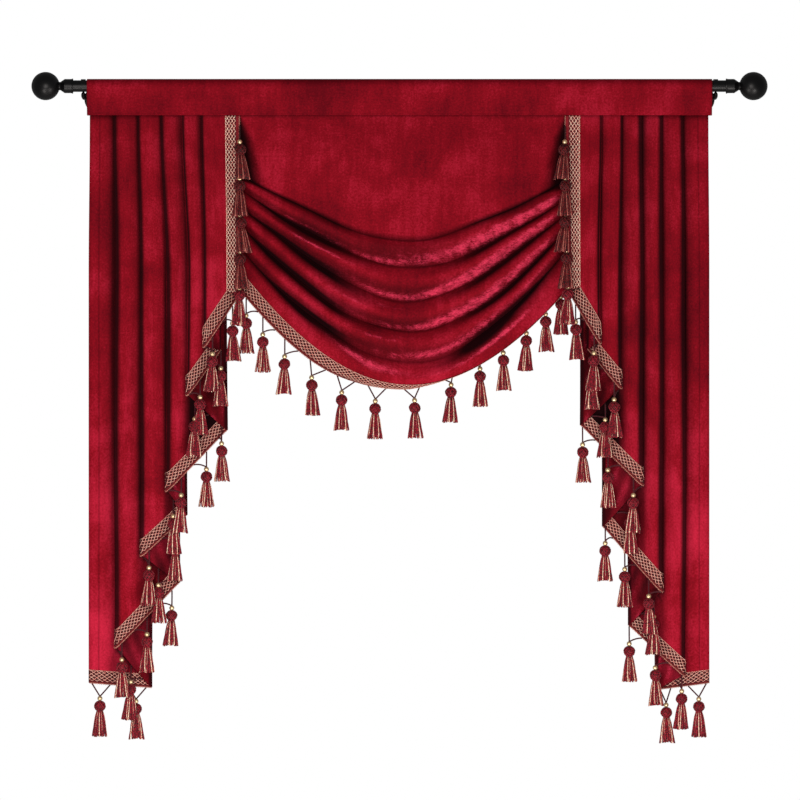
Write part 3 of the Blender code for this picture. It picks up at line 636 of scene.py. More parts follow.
# Below the last crest the hem hangs down at the left and is curled under at the right.
# place from the left side (-1) to the right side (1), slope there at its top and at its edge in
# degrees, where 0 hangs straight down and 90 points back to the wall
HEM_STRIP = 0.032
HEM_TURNS = np.array((
    (-1.00, 0.0, 12.0),
    (-0.55, 0.0, 30.0),
    (-0.30, 15.0, 80.0),
    (0.00, 30.0, 120.0),
    (0.25, 80.0, 170.0),
    (0.50, 95.0, 190.0),
    (1.00, 95.0, 190.0),
))

# At its top corners the swag is drawn back behind the tails.
TUCK_DEPTH = 0.024
TUCK_SHARE = 0.20

# Smaller creases between the folds, as soft ridges (+) and troughs (-).
# x, place down in fold lines, half length, half width in fold lines, lines down per metre, height
SWAG_CREASES = (
    (-0.300, 2.45, 0.070, 0.16, 0.8, 0.0016),
    (-0.160, 3.50, 0.110, 0.20, 0.6, 0.0018),
    (-0.060, 3.40, 0.120, 0.16, -0.8, -0.0018),
    (0.080, 3.55, 0.100, 0.15, -1.0, 0.0016),
    (0.210, 3.30, 0.090, 0.16, 0.6, -0.0014),
    (-0.230, 4.60, 0.100, 0.18, 0.8, -0.0020),
    (-0.040, 5.45, 0.110, 0.17, 1.0, 0.0020),
    (0.060, 5.65, 0.090, 0.15, -1.2, -0.0020),
    (0.240, 5.40, 0.100, 0.17, 0.5, 0.0018),
    (-0.110, 6.60, 0.090, 0.20, -1.0, -0.0018),
    (0.110, 7.45, 0.110, 0.17, -0.9, 0.0020),
    (-0.030, 7.60, 0.080, 0.16, 1.2, -0.0022),
    (0.260, 7.50, 0.080, 0.16, 0.4, -0.0016),
    (0.020, 9.50, 0.130, 0.18, 1.0, 0.0024),
    (0.170, 9.40, 0.100, 0.18, -0.8, -0.0018),
    (-0.070, 10.45, 0.110, 0.15, 0.8, 0.0024),
    (-0.020, 10.62, 0.090, 0.12, 0.5, -0.0020),
    (0.150, 10.55, 0.090, 0.14, -0.8, 0.0020),
    (-0.250, 10.60, 0.080, 0.16, 1.2, 0.0016),
    (-0.200, 1.20, 0.120, 0.30, 2.2, 0.0016),
    (0.200, 1.25, 0.130, 0.30, -2.0, 0.0016),
)

# Where the pile is crushed and a sheen is painted on it, and how much.
# x, place down in fold lines, half length, half width in fold lines, lines down per metre, share
CRUSHED_PILE_AND_SHEEN = (
    (0.110, 3.55, 0.080, 0.36, -0.9, 0.62),
    (0.210, 3.42, 0.080, 0.46, -0.6, 0.92),
    (0.300, 3.30, 0.060, 0.50, -0.6, 1.00),
    (0.362, 3.26, 0.034, 0.50, -0.6, 0.90),
    (-0.070, 3.78, 0.130, 0.20, 0.3, 0.46),
    (0.020, 3.55, 0.070, 0.30, 0.0, 0.40),
    (-0.040, 3.85, 0.050, 0.16, 0.0, 0.35),
    (0.090, 5.75, 0.070, 0.26, -0.5, 0.75),
    (0.180, 5.55, 0.080, 0.42, -0.6, 1.00),
    (0.270, 5.42, 0.070, 0.46, -0.6, 1.00),
    (0.345, 5.30, 0.040, 0.44, -0.6, 0.90),
    (-0.050, 5.76, 0.120, 0.20, 0.3, 0.46),
    (-0.030, 5.80, 0.060, 0.18, 0.4, 0.40),
    (0.090, 7.72, 0.070, 0.26, -0.3, 0.80),
    (0.180, 7.55, 0.080, 0.40, -0.5, 1.00),
    (0.270, 7.40, 0.060, 0.34, -0.5, 0.90),
    (0.335, 7.25, 0.045, 0.40, -0.5, 0.90),
    (-0.030, 7.78, 0.110, 0.20, 0.2, 0.48),
    (-0.040, 6.55, 0.060, 0.14, 0.0, 0.50),
    (0.000, 8.60, 0.060, 0.12, 0.0, 0.40),
    (0.080, 9.60, 0.080, 0.22, 0.0, 0.70),
    (0.190, 9.40, 0.080, 0.34, -0.4, 0.85),
    (0.320, 9.25, 0.050, 0.26, -0.4, 0.75),
    (0.000, 9.78, 0.090, 0.20, 0.0, 0.46),
    (0.160, 10.90, 0.120, 0.16, 0.0, 0.80),
    (0.270, 10.95, 0.070, 0.20, 0.0, 0.85),
    (-0.050, 10.60, 0.070, 0.28, 0.6, 1.00),
    (-0.120, 10.45, 0.060, 0.22, 0.6, 0.70),
    (-0.250, 3.60, 0.080, 0.12, 0.0, 0.55),
    (-0.170, 4.95, 0.080, 0.15, 0.0, 0.72),
    (-0.230, 5.00, 0.050, 0.12, 0.0, 0.50),
    (-0.120, 6.95, 0.080, 0.15, 0.0, 0.72),
    (-0.060, 8.95, 0.080, 0.15, 0.0, 0.72),
    (-0.280, 11.0, 0.070, 0.14, 0.0, 0.45),
)

# The wedges of painted shade where two folds part.
# x, place down in fold lines, half length, half width in fold lines, lines down per metre, darkness
DARK_WEDGES = (
    (0.330, 4.05, 0.050, 0.26, -0.3, 0.80),
    (0.300, 6.05, 0.080, 0.36, -0.4, 1.00),
    (0.280, 8.05, 0.090, 0.44, -0.5, 1.05),
    (0.215, 10.25, 0.100, 0.52, -0.6, 1.40),
    (0.000, 3.30, 0.160, 0.60, 0.0, 0.58),
    (0.000, 5.60, 0.150, 0.40, 0.0, 0.62),
    (0.000, 7.60, 0.150, 0.40, 0.0, 0.64),
    (0.030, 9.60, 0.150, 0.48, 0.0, 0.62),
    (-0.230, 4.05, 0.070, 0.26, 0.3, 0.80),
    (-0.240, 6.05, 0.070, 0.28, 0.4, 0.75),
    (-0.230, 8.05, 0.080, 0.30, 0.5, 0.85),
    (-0.205, 10.10, 0.080, 0.40, 0.6, 1.00),
)

# How far in from its sides painted shade darkens the swag, as a share of its half width.
# place down in fold lines, share
CORNER_REACH = np.array((
    (0.0, 0.042), (1.0, 0.135), (2.0, 0.212), (2.7, 0.090), (LAST_LINE, 0.052),
))
# Painted shade: how strong it is in the corners, in the wedges and on the folds' lower faces; the
# share of it kept in the middle; how far behind a crest it starts; how much crushed pile lifts it,
# and how much painted shade the crushed pile keeps between its flecks.
CORNER_SHADE = 0.96
WEDGE_SHADE = 0.98
LOWER_FACE_SHADE = 0.62
SHADE_AT_MIDDLE = 0.22
CREST_DEPTH = 0.0026
CRUSHED_LIFT = 0.40
CRUSHED_SHADE = 0.12


def swag_share(x):
    # How far out x lies from the swag's middle, from 0 to 1 at its sides.
    return np.where(x < SWAG_MIDDLE, (SWAG_MIDDLE - x) / (SWAG_MIDDLE - SWAG_LEFT),
                    (x - SWAG_MIDDLE) / (SWAG_RIGHT - SWAG_MIDDLE))


def swag_lines(x):
    # Drop and forward distance of every fold line of the swag, at each x.
    left, middle, right, roundness = SWAG_FOLDS.T[:4, :, None]
    fore_left, fore_shoulder, fore_middle, fore_right = SWAG_FOLDS.T[4:, :, None]
    share = swag_share(x)
    side_drop = np.where(x < SWAG_MIDDLE, left, right)
    fore_side = np.where(x < SWAG_MIDDLE, fore_left, fore_right)
    sag = (np.hypot(roundness, share) - roundness) / (np.hypot(roundness, 1.0) - roundness)
    drop = middle + (side_drop - middle) * sag
    forward = (
        fore_middle * (share - SHOULDER) * (share - 1.0) / SHOULDER
        + fore_shoulder * share * (share - 1.0) / (SHOULDER * (SHOULDER - 1.0))
        + fore_side * share * (share - SHOULDER) / (1.0 - SHOULDER))
    return drop, forward


def swag_hem(x, share):
    # Drop and forward distance on the hem, which turns as it leaves the last crest.
    drops, forwards = swag_lines(x)
    step = 0.004
    slope = (swag_lines(x + step)[0][-1] - swag_lines(x - step)[0][-1]) / (2.0 * step)
    place_across = swag_share(x) * np.where(x < SWAG_MIDDLE, -1.0, 1.0)
    start, finish = (
        np.radians(np.interp(place_across, HEM_TURNS[:, 0], HEM_TURNS[:, k])) for k in (1, 2))
    turn = finish - start
    down = (np.sin(start + turn * share) - np.sin(start)) / turn
    back = (np.cos(start) - np.cos(start + turn * share)) / turn
    return drops[-1] + HEM_STRIP * down * np.hypot(1.0, slope), forwards[-1] - HEM_STRIP * back


def patches(table, x, down):
    # The sum of the soft patches in a table at each x and place down the swag.
    total = np.zeros(np.broadcast(x, down).shape)
    for middle, line, half_length, half_width, lean, height in table:
        off = (x - middle) / half_length
        aside = (down - line - lean * (x - middle)) / half_width
        total += height * np.exp(-off ** 2 - aside ** 2)
    return total


def swag_surface(x, down):
    # Points of the swag and how much painted shade each one gets; down is 0 at the seam, LAST_LINE
    # at the last crest and one more at the edge of the hem.
    drops, forwards = swag_lines(x)
    line = np.minimum(down.astype(int), LAST_LINE - 1)
    share = np.minimum(down - line, 1.0)
    pick = np.arange(len(x))
    drop_a, drop_b = drops[line, pick], drops[line + 1, pick]
    fore_a, fore_b = forwards[line, pick], forwards[line + 1, pick]

    # Folds are full and round at their crests and pinched in their valleys.
    soft = 0.5 - 0.5 * np.cos(math.pi * share)
    out_of_valley = np.sqrt(1.0 - (1.0 - share) ** 2)
    into_valley = 1.0 - np.sqrt(1.0 - share ** 2)
    pinched = np.where(line % 2 == 0, out_of_valley, into_valley)
    folded = (line >= 2) & (line <= LAST_LINE - 2)
    fold_share = np.where(folded, 0.45 * soft + 0.55 * pinched, soft)
    forward = fore_a + (fore_b - fore_a) * fold_share
    drop = drop_a + (drop_b - drop_a) * share

    # The tuck at the top corners widens from the seam to the first valley.
    tuck = np.minimum(down / 2.0, 1.0) * np.clip(3.0 - down, 0.0, 1.0)
    tucked = tuck * np.maximum(swag_share(x) - 1.0 + TUCK_SHARE * tuck, 0.0) / TUCK_SHARE
    forward = forward - TUCK_DEPTH * tucked
    hem_drop, hem_forward = swag_hem(x, np.maximum(down - LAST_LINE, 0.0))
    drop = np.where(down > LAST_LINE, hem_drop, drop)
    forward = np.where(down > LAST_LINE, hem_forward, forward)

    # Uneven hang: the folds wander a little up and down and in and out.
    free = smooth_step(down / 2.0) * smooth_step((LAST_LINE - down) / 1.5)
    wander = 0.0022 * np.sin(13.0 * x + 1.3 * down) + 0.0014 * np.sin(31.0 * x - 0.9 * down + 1.0)
    drop = drop + wander * free
    forward = forward + free * (
        0.0011 * np.sin(19.0 * x + 2.1 * down) + 0.0006 * np.sin(47.0 * x - 1.7 * down + 2.0))
    forward = forward + patches(SWAG_CREASES, x, down) * free

    # Painted shade: the valleys, most where the folds gather towards the sides, the lower faces of
    # the folds a little, and the tucked corners.
    crest = np.where(line % 2 == 0, fore_b, fore_a)
    outward = smooth_step((swag_share(x) - 0.12) / 0.34)
    gathered = SHADE_AT_MIDDLE + (1.0 - SHADE_AT_MIDDLE) * outward
    deep = np.clip((crest - forward - CREST_DEPTH) / PAINTED_SHADE_DEPTH, 0.0, 1.0) * gathered
    lower_face = smooth_step(share / 0.55)
    out_of_fold = 1.0 - smooth_step(share / 0.40)
    deep = np.maximum(
        deep, LOWER_FACE_SHADE * np.where(line % 2 == 1, lower_face, out_of_fold))
    deep = np.maximum(deep, np.clip(patches(DARK_WEDGES, x, down), 0.0, WEDGE_SHADE))
    reach = np.interp(down, CORNER_REACH[:, 0], CORNER_REACH[:, 1])
    corner = CORNER_SHADE * smooth_step((swag_share(x) - 1.0 + reach) / (0.55 * reach))
    corner = np.maximum(corner, under_band(drop))
    points = spot(x, PLEAT_FRONT + forward, drop)
    return points, np.where(folded, np.maximum(deep, corner), corner)


swag_x = np.linspace(SWAG_LEFT, SWAG_RIGHT, SWAG_COLUMNS)
swag_down = np.linspace(0.0, LAST_LINE + 1.0, (LAST_LINE + 1) * SWAG_ROWS_PER_LINE + 1)
swag_grid = np.zeros((len(swag_x), len(swag_down), 3))
swag_hollow = np.zeros(swag_grid.shape[:2])
for j, down in enumerate(swag_down):
    swag_grid[:, j], swag_hollow[:, j] = swag_surface(swag_x, np.full(len(swag_x), down))
# The crushed pile with its painted sheen; there the painted shade is lifted, but some painted shade
# stays between the flecks.
swag_crushed = np.clip(patches(CRUSHED_PILE_AND_SHEEN, swag_x[:, None], swag_down[None, :]), 0.0, 1.0)
swag_hollow = np.maximum(
    swag_hollow * (1.0 - CRUSHED_LIFT * swag_crushed), CRUSHED_SHADE * swag_crushed)
swag = cloth_piece(
    "swag_cloth", swag_grid, SWAG_THICKNESS, swag_x, hollow=swag_hollow, crushed=swag_crushed,
    nap=0.0)
finished(swag, chenille_sides, "swag")


# Tails
# Two lengths of chenille cut on a slant and laid in five flat pleats under the band, which open
# into soft rolls as they fall. The outer edge has a hem 24 mm wide, turned and stitched.

GAP_AT_TOP = 0.0028
GAP_AT_HEM = 0.0080
OPENING_LENGTH = 0.390
BRAID_WIDTH = 0.031
SIDE_HEM = 0.024
ROLL_HEIGHT = 0.0040
COLUMNS_PER_LAYER = 13
HEM_STEP = 0.007
FOLD_ANGLES = (-90.0, -67.5, -45.0, -22.5, 0.0, 22.5, 45.0, 67.5, 90.0)
ROWS_ABOVE_BRAID = 120
ROWS_UNDER_BRAID = 9

# How much painted shade darkens the cloth in folds that point outwards and inwards, on the returns
# with their painted crumples, just under a fold and more softly beyond it, behind a face's own
# fold, below a hem and along the hem's stitching; how bright the crumples' painted highlights are;
# and where each roll's painted highlight lies, how wide it is and how strong.
OUTWARD_FOLD_SHADE = 0.44
INWARD_FOLD_SHADE = 0.62
RETURN_SHADE = 0.60
CRUMPLE_SHADE = 0.26
CRUMPLE_HIGHLIGHT = 0.62
TIGHT_SHADE = 0.98
TIGHT_OVER = 0.125
SOFT_SHADE = 0.38
SOFT_OVER = 0.26
TURNING_SHADE = 0.36
BELOW_HEM_SHADE = 0.92
BELOW_HEM_OVER = 0.026
SEAM_SHADE = 0.45
ROLL_PLACE = 0.80
ROLL_WIDTH = 0.09
ROLL_HIGHLIGHT = 0.75

# How much painted light lightens each tail low down, by its side; the same for single faces, by
# their number, lighter or darker; and how much painted shade darkens it half way down.
LOWER_PAINTED_LIGHT = {-1.0: 0.95, 1.0: 0.85}
FACE_PAINTED_LIGHT = {-1.0: {6: -1.1, 8: -1.1, 10: 0.5}, 1.0: {6: -0.2, 10: 0.1}}
HALF_WAY_PAINTED_SHADE = {-1.0: 0.10, 1.0: 0.75}

# One row for each fold line of a tail, from the edge beside the swag to the outer edge.
# x at the seam, x at the hem, drop of the hem, set back at the seam, set back at the hem
LEFT_TAIL = (
    (-0.3852, -0.3852, 0.502, 0.0000, 0.000),
    (-0.4764, -0.4692, 0.626, 0.0014, 0.006),
    (-0.4356, -0.4284, 0.634, 0.0090, 0.019),
    (-0.5225, -0.5100, 0.742, 0.0014, 0.012),
    (-0.4260, -0.4140, 0.826, 0.0156, 0.035),
    (-0.5748, -0.5604, 0.972, 0.0014, 0.018),
    (-0.5244, -0.5100, 1.030, 0.0100, 0.034),
    (-0.6295, -0.6228, 1.128, 0.0014, 0.024),
    (-0.5340, -0.5268, 1.193, 0.0144, 0.045),
    (-0.6869, -0.6852, 1.349, 0.0014, 0.030),
    (-0.5964, -0.5940, 1.445, 0.0136, 0.050),
    (-0.7433, -0.7476, 1.433, 0.0000, 0.034),
)
RIGHT_TAIL = (
    (0.3984, 0.4050, 0.492, 0.0000, 0.000),
    (0.4860, 0.4812, 0.617, 0.0014, 0.006),
    (0.4548, 0.4500, 0.631, 0.0082, 0.018),
    (0.5354, 0.5333, 0.725, 0.0014, 0.012),
    (0.4404, 0.4332, 0.814, 0.0152, 0.036),
    (0.5813, 0.5860, 0.958, 0.0014, 0.018),
    (0.4812, 0.4860, 1.058, 0.0152, 0.042),
    (0.6317, 0.6334, 1.214, 0.0014, 0.024),
    (0.5460, 0.5484, 1.296, 0.0136, 0.044),
    (0.6816, 0.6876, 1.416, 0.0014, 0.030),
    (0.6084, 0.6156, 1.450, 0.0124, 0.048),
    (0.7414, 0.7452, 1.433, 0.0000, 0.034),
)


def tail_columns(folds):
    # The tail's upright lines, each as (kind, layer or fold number, place in it).
    # kind "flat" is a share of a layer's width; kind "fold" is an angle round a fold.
    columns = []
    last = len(folds) - 2
    for layer in range(len(folds) - 1):
        width = abs(folds[layer + 1][1] - folds[layer][1])
        shares = set(np.linspace(0.0, 1.0, COLUMNS_PER_LAYER + 1).tolist())
        if layer == 0:
            shares = set(np.linspace(0.0, BRAID_WIDTH / width, 6).tolist())
            shares |= set(np.linspace(BRAID_WIDTH / width, 1.0, COLUMNS_PER_LAYER - 3).tolist())
        if layer == last:
            hem = 1.0 - SIDE_HEM / width
            shares |= {hem + k * HEM_STEP for k in (-2, -1, 0, 1, 2)}
        inner = [
            s for s in sorted(shares)
            if (layer == 0 or s > 0.0) and (layer == last or s < 1.0)]
        columns += [("flat", layer, s) for s in inner]
        if layer < last:
            columns += [("fold", layer + 1, angle) for angle in FOLD_ANGLES]
    return columns


def tail_upright(folds, column, drops):
    # The middle of the cloth on one upright line, at each drop.
    side = 1.0 if folds[0][0] > 0 else -1.0
    last = len(folds) - 1
    opened = smooth_step((drops - TOP_DROP) / OPENING_LENGTH)
    radius = (GAP_AT_TOP + (GAP_AT_HEM - GAP_AT_TOP) * opened) / 2

    def centre(k):
        # The middle of fold k's half circle; odd folds point outwards, even ones inwards.
        x = folds[k][0] + (folds[k][1] - folds[k][0]) * opened
        back = folds[k][3] + (folds[k][4] - folds[k][3]) * opened
        if 0 < k < last:
            x = x - side * radius * (1.0 if k % 2 else -1.0)
            x = x + 0.0016 * opened * np.sin(7.0 * drops + 2.1 * k + side)
        return x, back

    kind, number, value = column
    if kind == "fold":
        x, back = centre(number)
        outward = side if number % 2 else -side
        angle = math.radians(value)
        x = x + radius * outward * math.cos(angle)
        return spot(x, PLEAT_FRONT - back - radius * math.sin(angle), drops)
    start_x, start_back = centre(number)
    end_x, end_back = centre(number + 1)
    if number > 0:
        start_back = start_back + radius
    if number + 1 < last:
        end_back = end_back - radius
    x = start_x + (end_x - start_x) * value
    back = start_back + (end_back - start_back) * value
    if number % 2 == 0:
        # The faces of the pleats swell into rolls as they open, fullest near their folds.
        swell = 0.16 + 0.84 * opened
        back = back - ROLL_HEIGHT * swell * math.sin(math.pi * value ** 1.9)
        waver = 0.0008 * opened * np.sin(11.0 * drops + 1.7 * number)
        back = back - waver * math.sin(math.pi * value)
    return spot(x, PLEAT_FRONT - back, drops)


def tail_hem(folds, column):
    # The drop of the hem on one upright line, and how steeply the hem runs there.
    kind, number, value = column

    def steepness(layer):
        layer = min(max(layer, 0), len(folds) - 2)
        rise = folds[layer + 1][2] - folds[layer][2]
        return abs(rise / (folds[layer + 1][1] - folds[layer][1]))

    if kind == "fold":
        turn = (value + 90.0) / 180.0
        return folds[number][2], steepness(number - 1) * (1.0 - turn) + steepness(number) * turn
    return folds[number][2] + (folds[number + 1][2] - folds[number][2]) * value, steepness(number)


def braid_top(folds, column):
    # The drop of the braid's upper edge on one upright line.
    hem, slope = tail_hem(folds, column)
    return hem - BRAID_WIDTH * math.hypot(1.0, slope)


def tail_grid(folds):
    # The tail's points, column by column, with the last rows of each under the braid.
    columns = tail_columns(folds)
    grid = []
    for column in columns:
        hem, top = tail_hem(folds, column)[0], braid_top(folds, column)
        shares = np.linspace(0.0, 1.0, ROWS_ABOVE_BRAID)
        drops = TOP_DROP + (top - TOP_DROP) * shares ** 0.9
        drops = np.concatenate([drops, np.linspace(top, hem, ROWS_UNDER_BRAID)[1:]])
        grid.append(tail_upright(folds, column, drops))
    grid = np.array(grid)
    for _ in range(2):
        grid[1:-1] = (grid[:-2] + 2.0 * grid[1:-1] + grid[2:]) / 4.0
    return columns, grid


def hem_in_front(folds, layer, x):
    # The drop of the lowest hem at x among the layers that lie in front of one.
    lowest = -1.0
    for (_, x_a, drop_a, _, _), (_, x_b, drop_b, _, _) in zip(folds[:layer], folds[1:layer + 1]):
        if min(x_a, x_b) <= x <= max(x_a, x_b):
            lowest = max(lowest, drop_a + (drop_b - drop_a) * (x - x_a) / (x_b - x_a))
    return lowest


def make_tail(side_name, folds):
    # One tail of its table: the piece, its upright lines and the middle of its cloth.
    side = 1.0 if folds[0][0] > 0 else -1.0
    columns, grid = tail_grid(folds)
    across = lengths_along(grid, 0)[:, -1]
    drops = ROD_HEIGHT - grid[:, :, 2]
    last = len(folds) - 2
    depth = np.zeros(grid.shape[:2])
    roll = np.zeros(grid.shape[:2])
    crumple_highlight = np.zeros(grid.shape[:2])
    settled = 1.0 - 0.50 * smooth_step((drops - 0.80) / 0.45)
    for i, (kind, number, value) in enumerate(columns):
        if kind == "fold":
            depth[i] = OUTWARD_FOLD_SHADE if number % 2 else INWARD_FOLD_SHADE
        elif number % 2:
            # Where the returns behind the faces show, crossing waves of painted shade and painted
            # highlight stand for crumples that their shape doesn't have.
            slant = 74.0 * grid[i, :, 0] * side + 52.0 * drops[i]
            waves = np.sin(slant + 1.7 * number) * np.sin(61.0 * drops[i] - 1.6 * slant + number)
            depth[i] = RETURN_SHADE + CRUMPLE_SHADE * waves
            crumple_highlight[i] = CRUMPLE_HIGHLIGHT * np.clip(-waves, 0.0, 1.0)
        elif number > 0:
            # Painted shade darkens each face where it passes under the fold before it, less so
            # lower down.
            covered = abs(folds[number - 1][1] - folds[number][1])
            under = covered / abs(folds[number + 1][1] - folds[number][1])
            tight = TIGHT_SHADE * float(1.0 - smooth_step((value - under + 0.01) / TIGHT_OVER))
            soft = SOFT_SHADE * float(1.0 - smooth_step((value - under) / SOFT_OVER))
            depth[i] = max(tight, soft) * settled[i]
        # Painted highlight along each face near its fold, and painted shade where it turns into the
        # fold.
        if kind == "flat" and number % 2 == 0 and number < last:
            roll[i] = math.exp(-((value - ROLL_PLACE) / ROLL_WIDTH) ** 2)
            turning = TURNING_SHADE * float(smooth_step((value - 0.90) / 0.10))
            depth[i] = np.maximum(depth[i], turning)
        # The hems of the layers in front shade what hangs just below them.
        front = hem_in_front(folds, number, grid[i, -1, 0])
        below = np.maximum(drops[i] - front, 0.0)
        depth[i] = np.maximum(depth[i], BELOW_HEM_SHADE * np.exp(-below / BELOW_HEM_OVER))
    # Painted light: lighter low down and along the rolls' highlights, darker half way down.
    face = np.array([FACE_PAINTED_LIGHT[side].get(number, 0.0) for _, number, _ in columns])
    low = (LOWER_PAINTED_LIGHT[side] + face[:, None]) * smooth_step((drops - 0.65) / 0.50)
    low = low - HALF_WAY_PAINTED_SHADE[side] * np.exp(-((drops - 0.60) / 0.20) ** 2)
    opened = smooth_step((drops - 0.20) / 0.35)
    uneven = 0.75 + 0.25 * np.sin(21.0 * drops + 40.0 * grid[:, :, 0])

    # The stitched hem is a little raised, with a groove where its thread draws it in.
    from_edge = across[-1] - across
    stitched = 0.0006 * smooth_step((SIDE_HEM + 0.002 - from_edge) / 0.002)
    stitched = stitched - 0.0010 * np.exp(-((from_edge - SIDE_HEM) / 0.0022) ** 2)
    stitched[from_edge > 2 * SIDE_HEM] = 0.0
    grid = grid + cloth_normals(grid) * side * stitched[:, None, None]
    # Painted shade along the hem's stitching, and the band's painted shadow at the top of the tail.
    seam_line = SEAM_SHADE * np.exp(-((from_edge - SIDE_HEM) / 0.0016) ** 2)
    depth = np.maximum(np.maximum(depth, seam_line[:, None]), under_band(drops))
    tail = cloth_piece(
        "pleated_tail_" + side_name, grid, TAIL_THICKNESS, across, flipped=side < 0,
        hollow=depth, crushed=crumple_highlight, nap=low + ROLL_HIGHLIGHT * roll * opened * uneven)
    finished(tail, chenille_sides, "tail_" + side_name)
    return tail, columns, grid


tails = {}
for name, folds in (("left", LEFT_TAIL), ("right", RIGHT_TAIL)):
    tails[name] = make_tail(name, folds)


# Braid
# A woven braid 31 mm wide, sewn by machine to the edges of the cloth: a dark red tape with a
# lattice of cream and gold yarns over it, small loops along its inner edge, and a cream cord with
# larger loops along its outer edge.

BRAID_THICKNESS = 0.0010
TAPE_CLEARANCE = 0.0004
SWAG_TAPE_CLEARANCE = 0.0012
EDGE_CORD_OUT = 0.0004
EDGE_CORD_IN = -0.0026
EDGE_CORD_UP = 0.0007
LOOP_ROOT_OUT = 0.0016
LOOP_ROOT_UP = 0.0009
PLY_RADIUS = 0.00080
PLY_PITCH = 0.0080
PLY_STEP = 0.0016
EDGE_BAND = 0.19  # The share of the braid's width that its plain outer band takes.
HEM_BAND = 0.09
SWAG_BAND = 0.12
BESIDE_BAND = 0.07
LATTICE_TO = 0.96
DIAMOND = 0.0125
STEPS_PER_DIAMOND = 4
STEPS_ACROSS = 12.0  # The steps in which a yarn crosses the braid.
YARNS = 6
SWAG_BRAID_INSET = 0.010
# How much painted shade darkens the braid's ground and its yarns on the tails' hems and the swag.
GROUND_SHADE = 0.80
YARN_SHADE = 0.42
EDGE_STATIONS = 97
BRAID_BELOW_SEAM = 0.0012
YARN_WIDTH = 0.00068
YARN_DEPTH = 0.00045
PICOT_PITCH = 0.0050
PICOT_OUT = 0.0014
PICOT_DEEP = 0.0010
PICOT_WIDE = 0.0013
PICOT_YARN = 0.00036
INNER_PICOT_PITCH = 0.0030


def new_parts():
    # The shapes of a piece so far, and the shade and sway of those that are added next.
    return {
        "points": [], "faces": [], "slots": [], "shade": [], "count": 0, "now": 0.0, "sway": 0.0}


def add_part(parts, points, faces, slot):
    # Adds a small closed shape to a piece that is made of many.
    faces = np.asarray(faces) + parts["count"]
    parts["points"].append(points)
    parts["faces"] += faces.tolist()
    parts["slots"] += [slot] * len(faces)
    parts["shade"] += [parts["now"]] * len(points)
    parts["count"] += len(points)


def add_tube(parts, path, facing, wide, deep, sides, slot, ring=False):
    # A yarn or cord along a path, wide across and deep along the facing directions.
    # wide and deep are half sizes, the same all along or one for each point.
    path = np.asarray(path, float)
    count = len(path)
    if ring:
        along = np.roll(path, -1, axis=0) - np.roll(path, 1, axis=0)
    else:
        along = np.gradient(path, axis=0)
    along = unit(along)
    facing = np.broadcast_to(facing, path.shape)
    outward = unit(facing - along * (facing * along).sum(axis=1, keepdims=True))
    across = np.cross(along, outward)
    turns = 2.0 * math.pi * (np.arange(sides) + 0.5) / sides
    wide = np.broadcast_to(wide, (count,))[:, None, None]
    deep = np.broadcast_to(deep, (count,))[:, None, None]
    corners = (
        path[:, None, :] + across[:, None, :] * np.cos(turns)[None, :, None] * wide
        + outward[:, None, :] * np.sin(turns)[None, :, None] * deep)
    rows = np.arange(count if ring else count - 1)
    after = (rows + 1) % count
    k = np.arange(sides)
    j = (k + 1) % sides
    faces = np.stack([
        rows[:, None] * sides + k, rows[:, None] * sides + j,
        after[:, None] * sides + j, after[:, None] * sides + k], axis=-1).reshape(-1, 4)
    add_part(parts, corners.reshape(-1, 3), faces, slot)
    if not ring:
        add_caps(parts, count, sides, slot)


def add_caps(parts, rings, size, slot):
    # Closes both ends of the rings of points that were added last.
    first = parts["count"] - rings * size
    end = parts["count"] - size
    parts["faces"] += [[first + k for k in reversed(range(size))], [end + k for k in range(size)]]
    parts["slots"] += [slot, slot]


def parts_piece(name, parts, finish, node):
    # One object of all the parts.
    mesh = bpy.data.meshes.new(name)
    mesh.from_pydata(np.concatenate(parts["points"]).tolist(), [], parts["faces"])
    piece = bpy.data.objects.new(name, mesh)
    bpy.context.collection.objects.link(piece)
    finished(piece, finish, node)
    mesh.polygons.foreach_set("material_index", parts["slots"])
    mesh.attributes.new("shade", "FLOAT", "POINT").data.foreach_set("value", parts["shade"])
    mesh.shade_smooth()
    return piece


class Strip:
    # A stretch of braid as rows of points across it, from the outer edge (0) to the inner (1).
    # outer and inner are each row's place along the braid at those two edges.
    def __init__(self, points, normals, outer, inner):
        self.points = np.asarray(points)
        self.normals = unit(np.asarray(normals))
        self.outer = np.asarray(outer)
        self.inner = np.maximum.accumulate(np.asarray(inner))

    def at(self, along, across, height):
        # Points on the braid at places along and across it, raised above the cloth.
        width = self.points.shape[1] - 1
        found = np.zeros((len(along), 3))
        for i, (s, w) in enumerate(zip(along, across)):
            rows = self.outer + (self.inner - self.outer) * w
            row = np.interp(s, rows, np.arange(len(rows)))
            a, b = min(int(row), len(rows) - 2), min(int(w * width), width - 1)
            u, v = row - a, w * width - b
            weights = ((a, b, (1 - u) * (1 - v)), (a + 1, b, u * (1 - v)),
                       (a, b + 1, (1 - u) * v), (a + 1, b + 1, u * v))
            point = sum(self.points[m, n] * k for m, n, k in weights)
            normal = sum(self.normals[m, n] * k for m, n, k in weights)
            found[i] = point + normal / max(np.linalg.norm(normal), 1e-9) * height[i]
        return found

    def facing(self, along, across):
        # Which way is off the cloth at those places.
        zero = np.zeros(len(along))
        return unit(self.at(along, across, zero + 0.001) - self.at(along, across, zero))

    def holds(self, along, across):
        # Which places lie between the strip's two ends.
        start = self.outer[0] + (self.inner[0] - self.outer[0]) * across
        end = self.outer[-1] + (self.inner[-1] - self.outer[-1]) * across
        return (along >= start) & (along <= end)


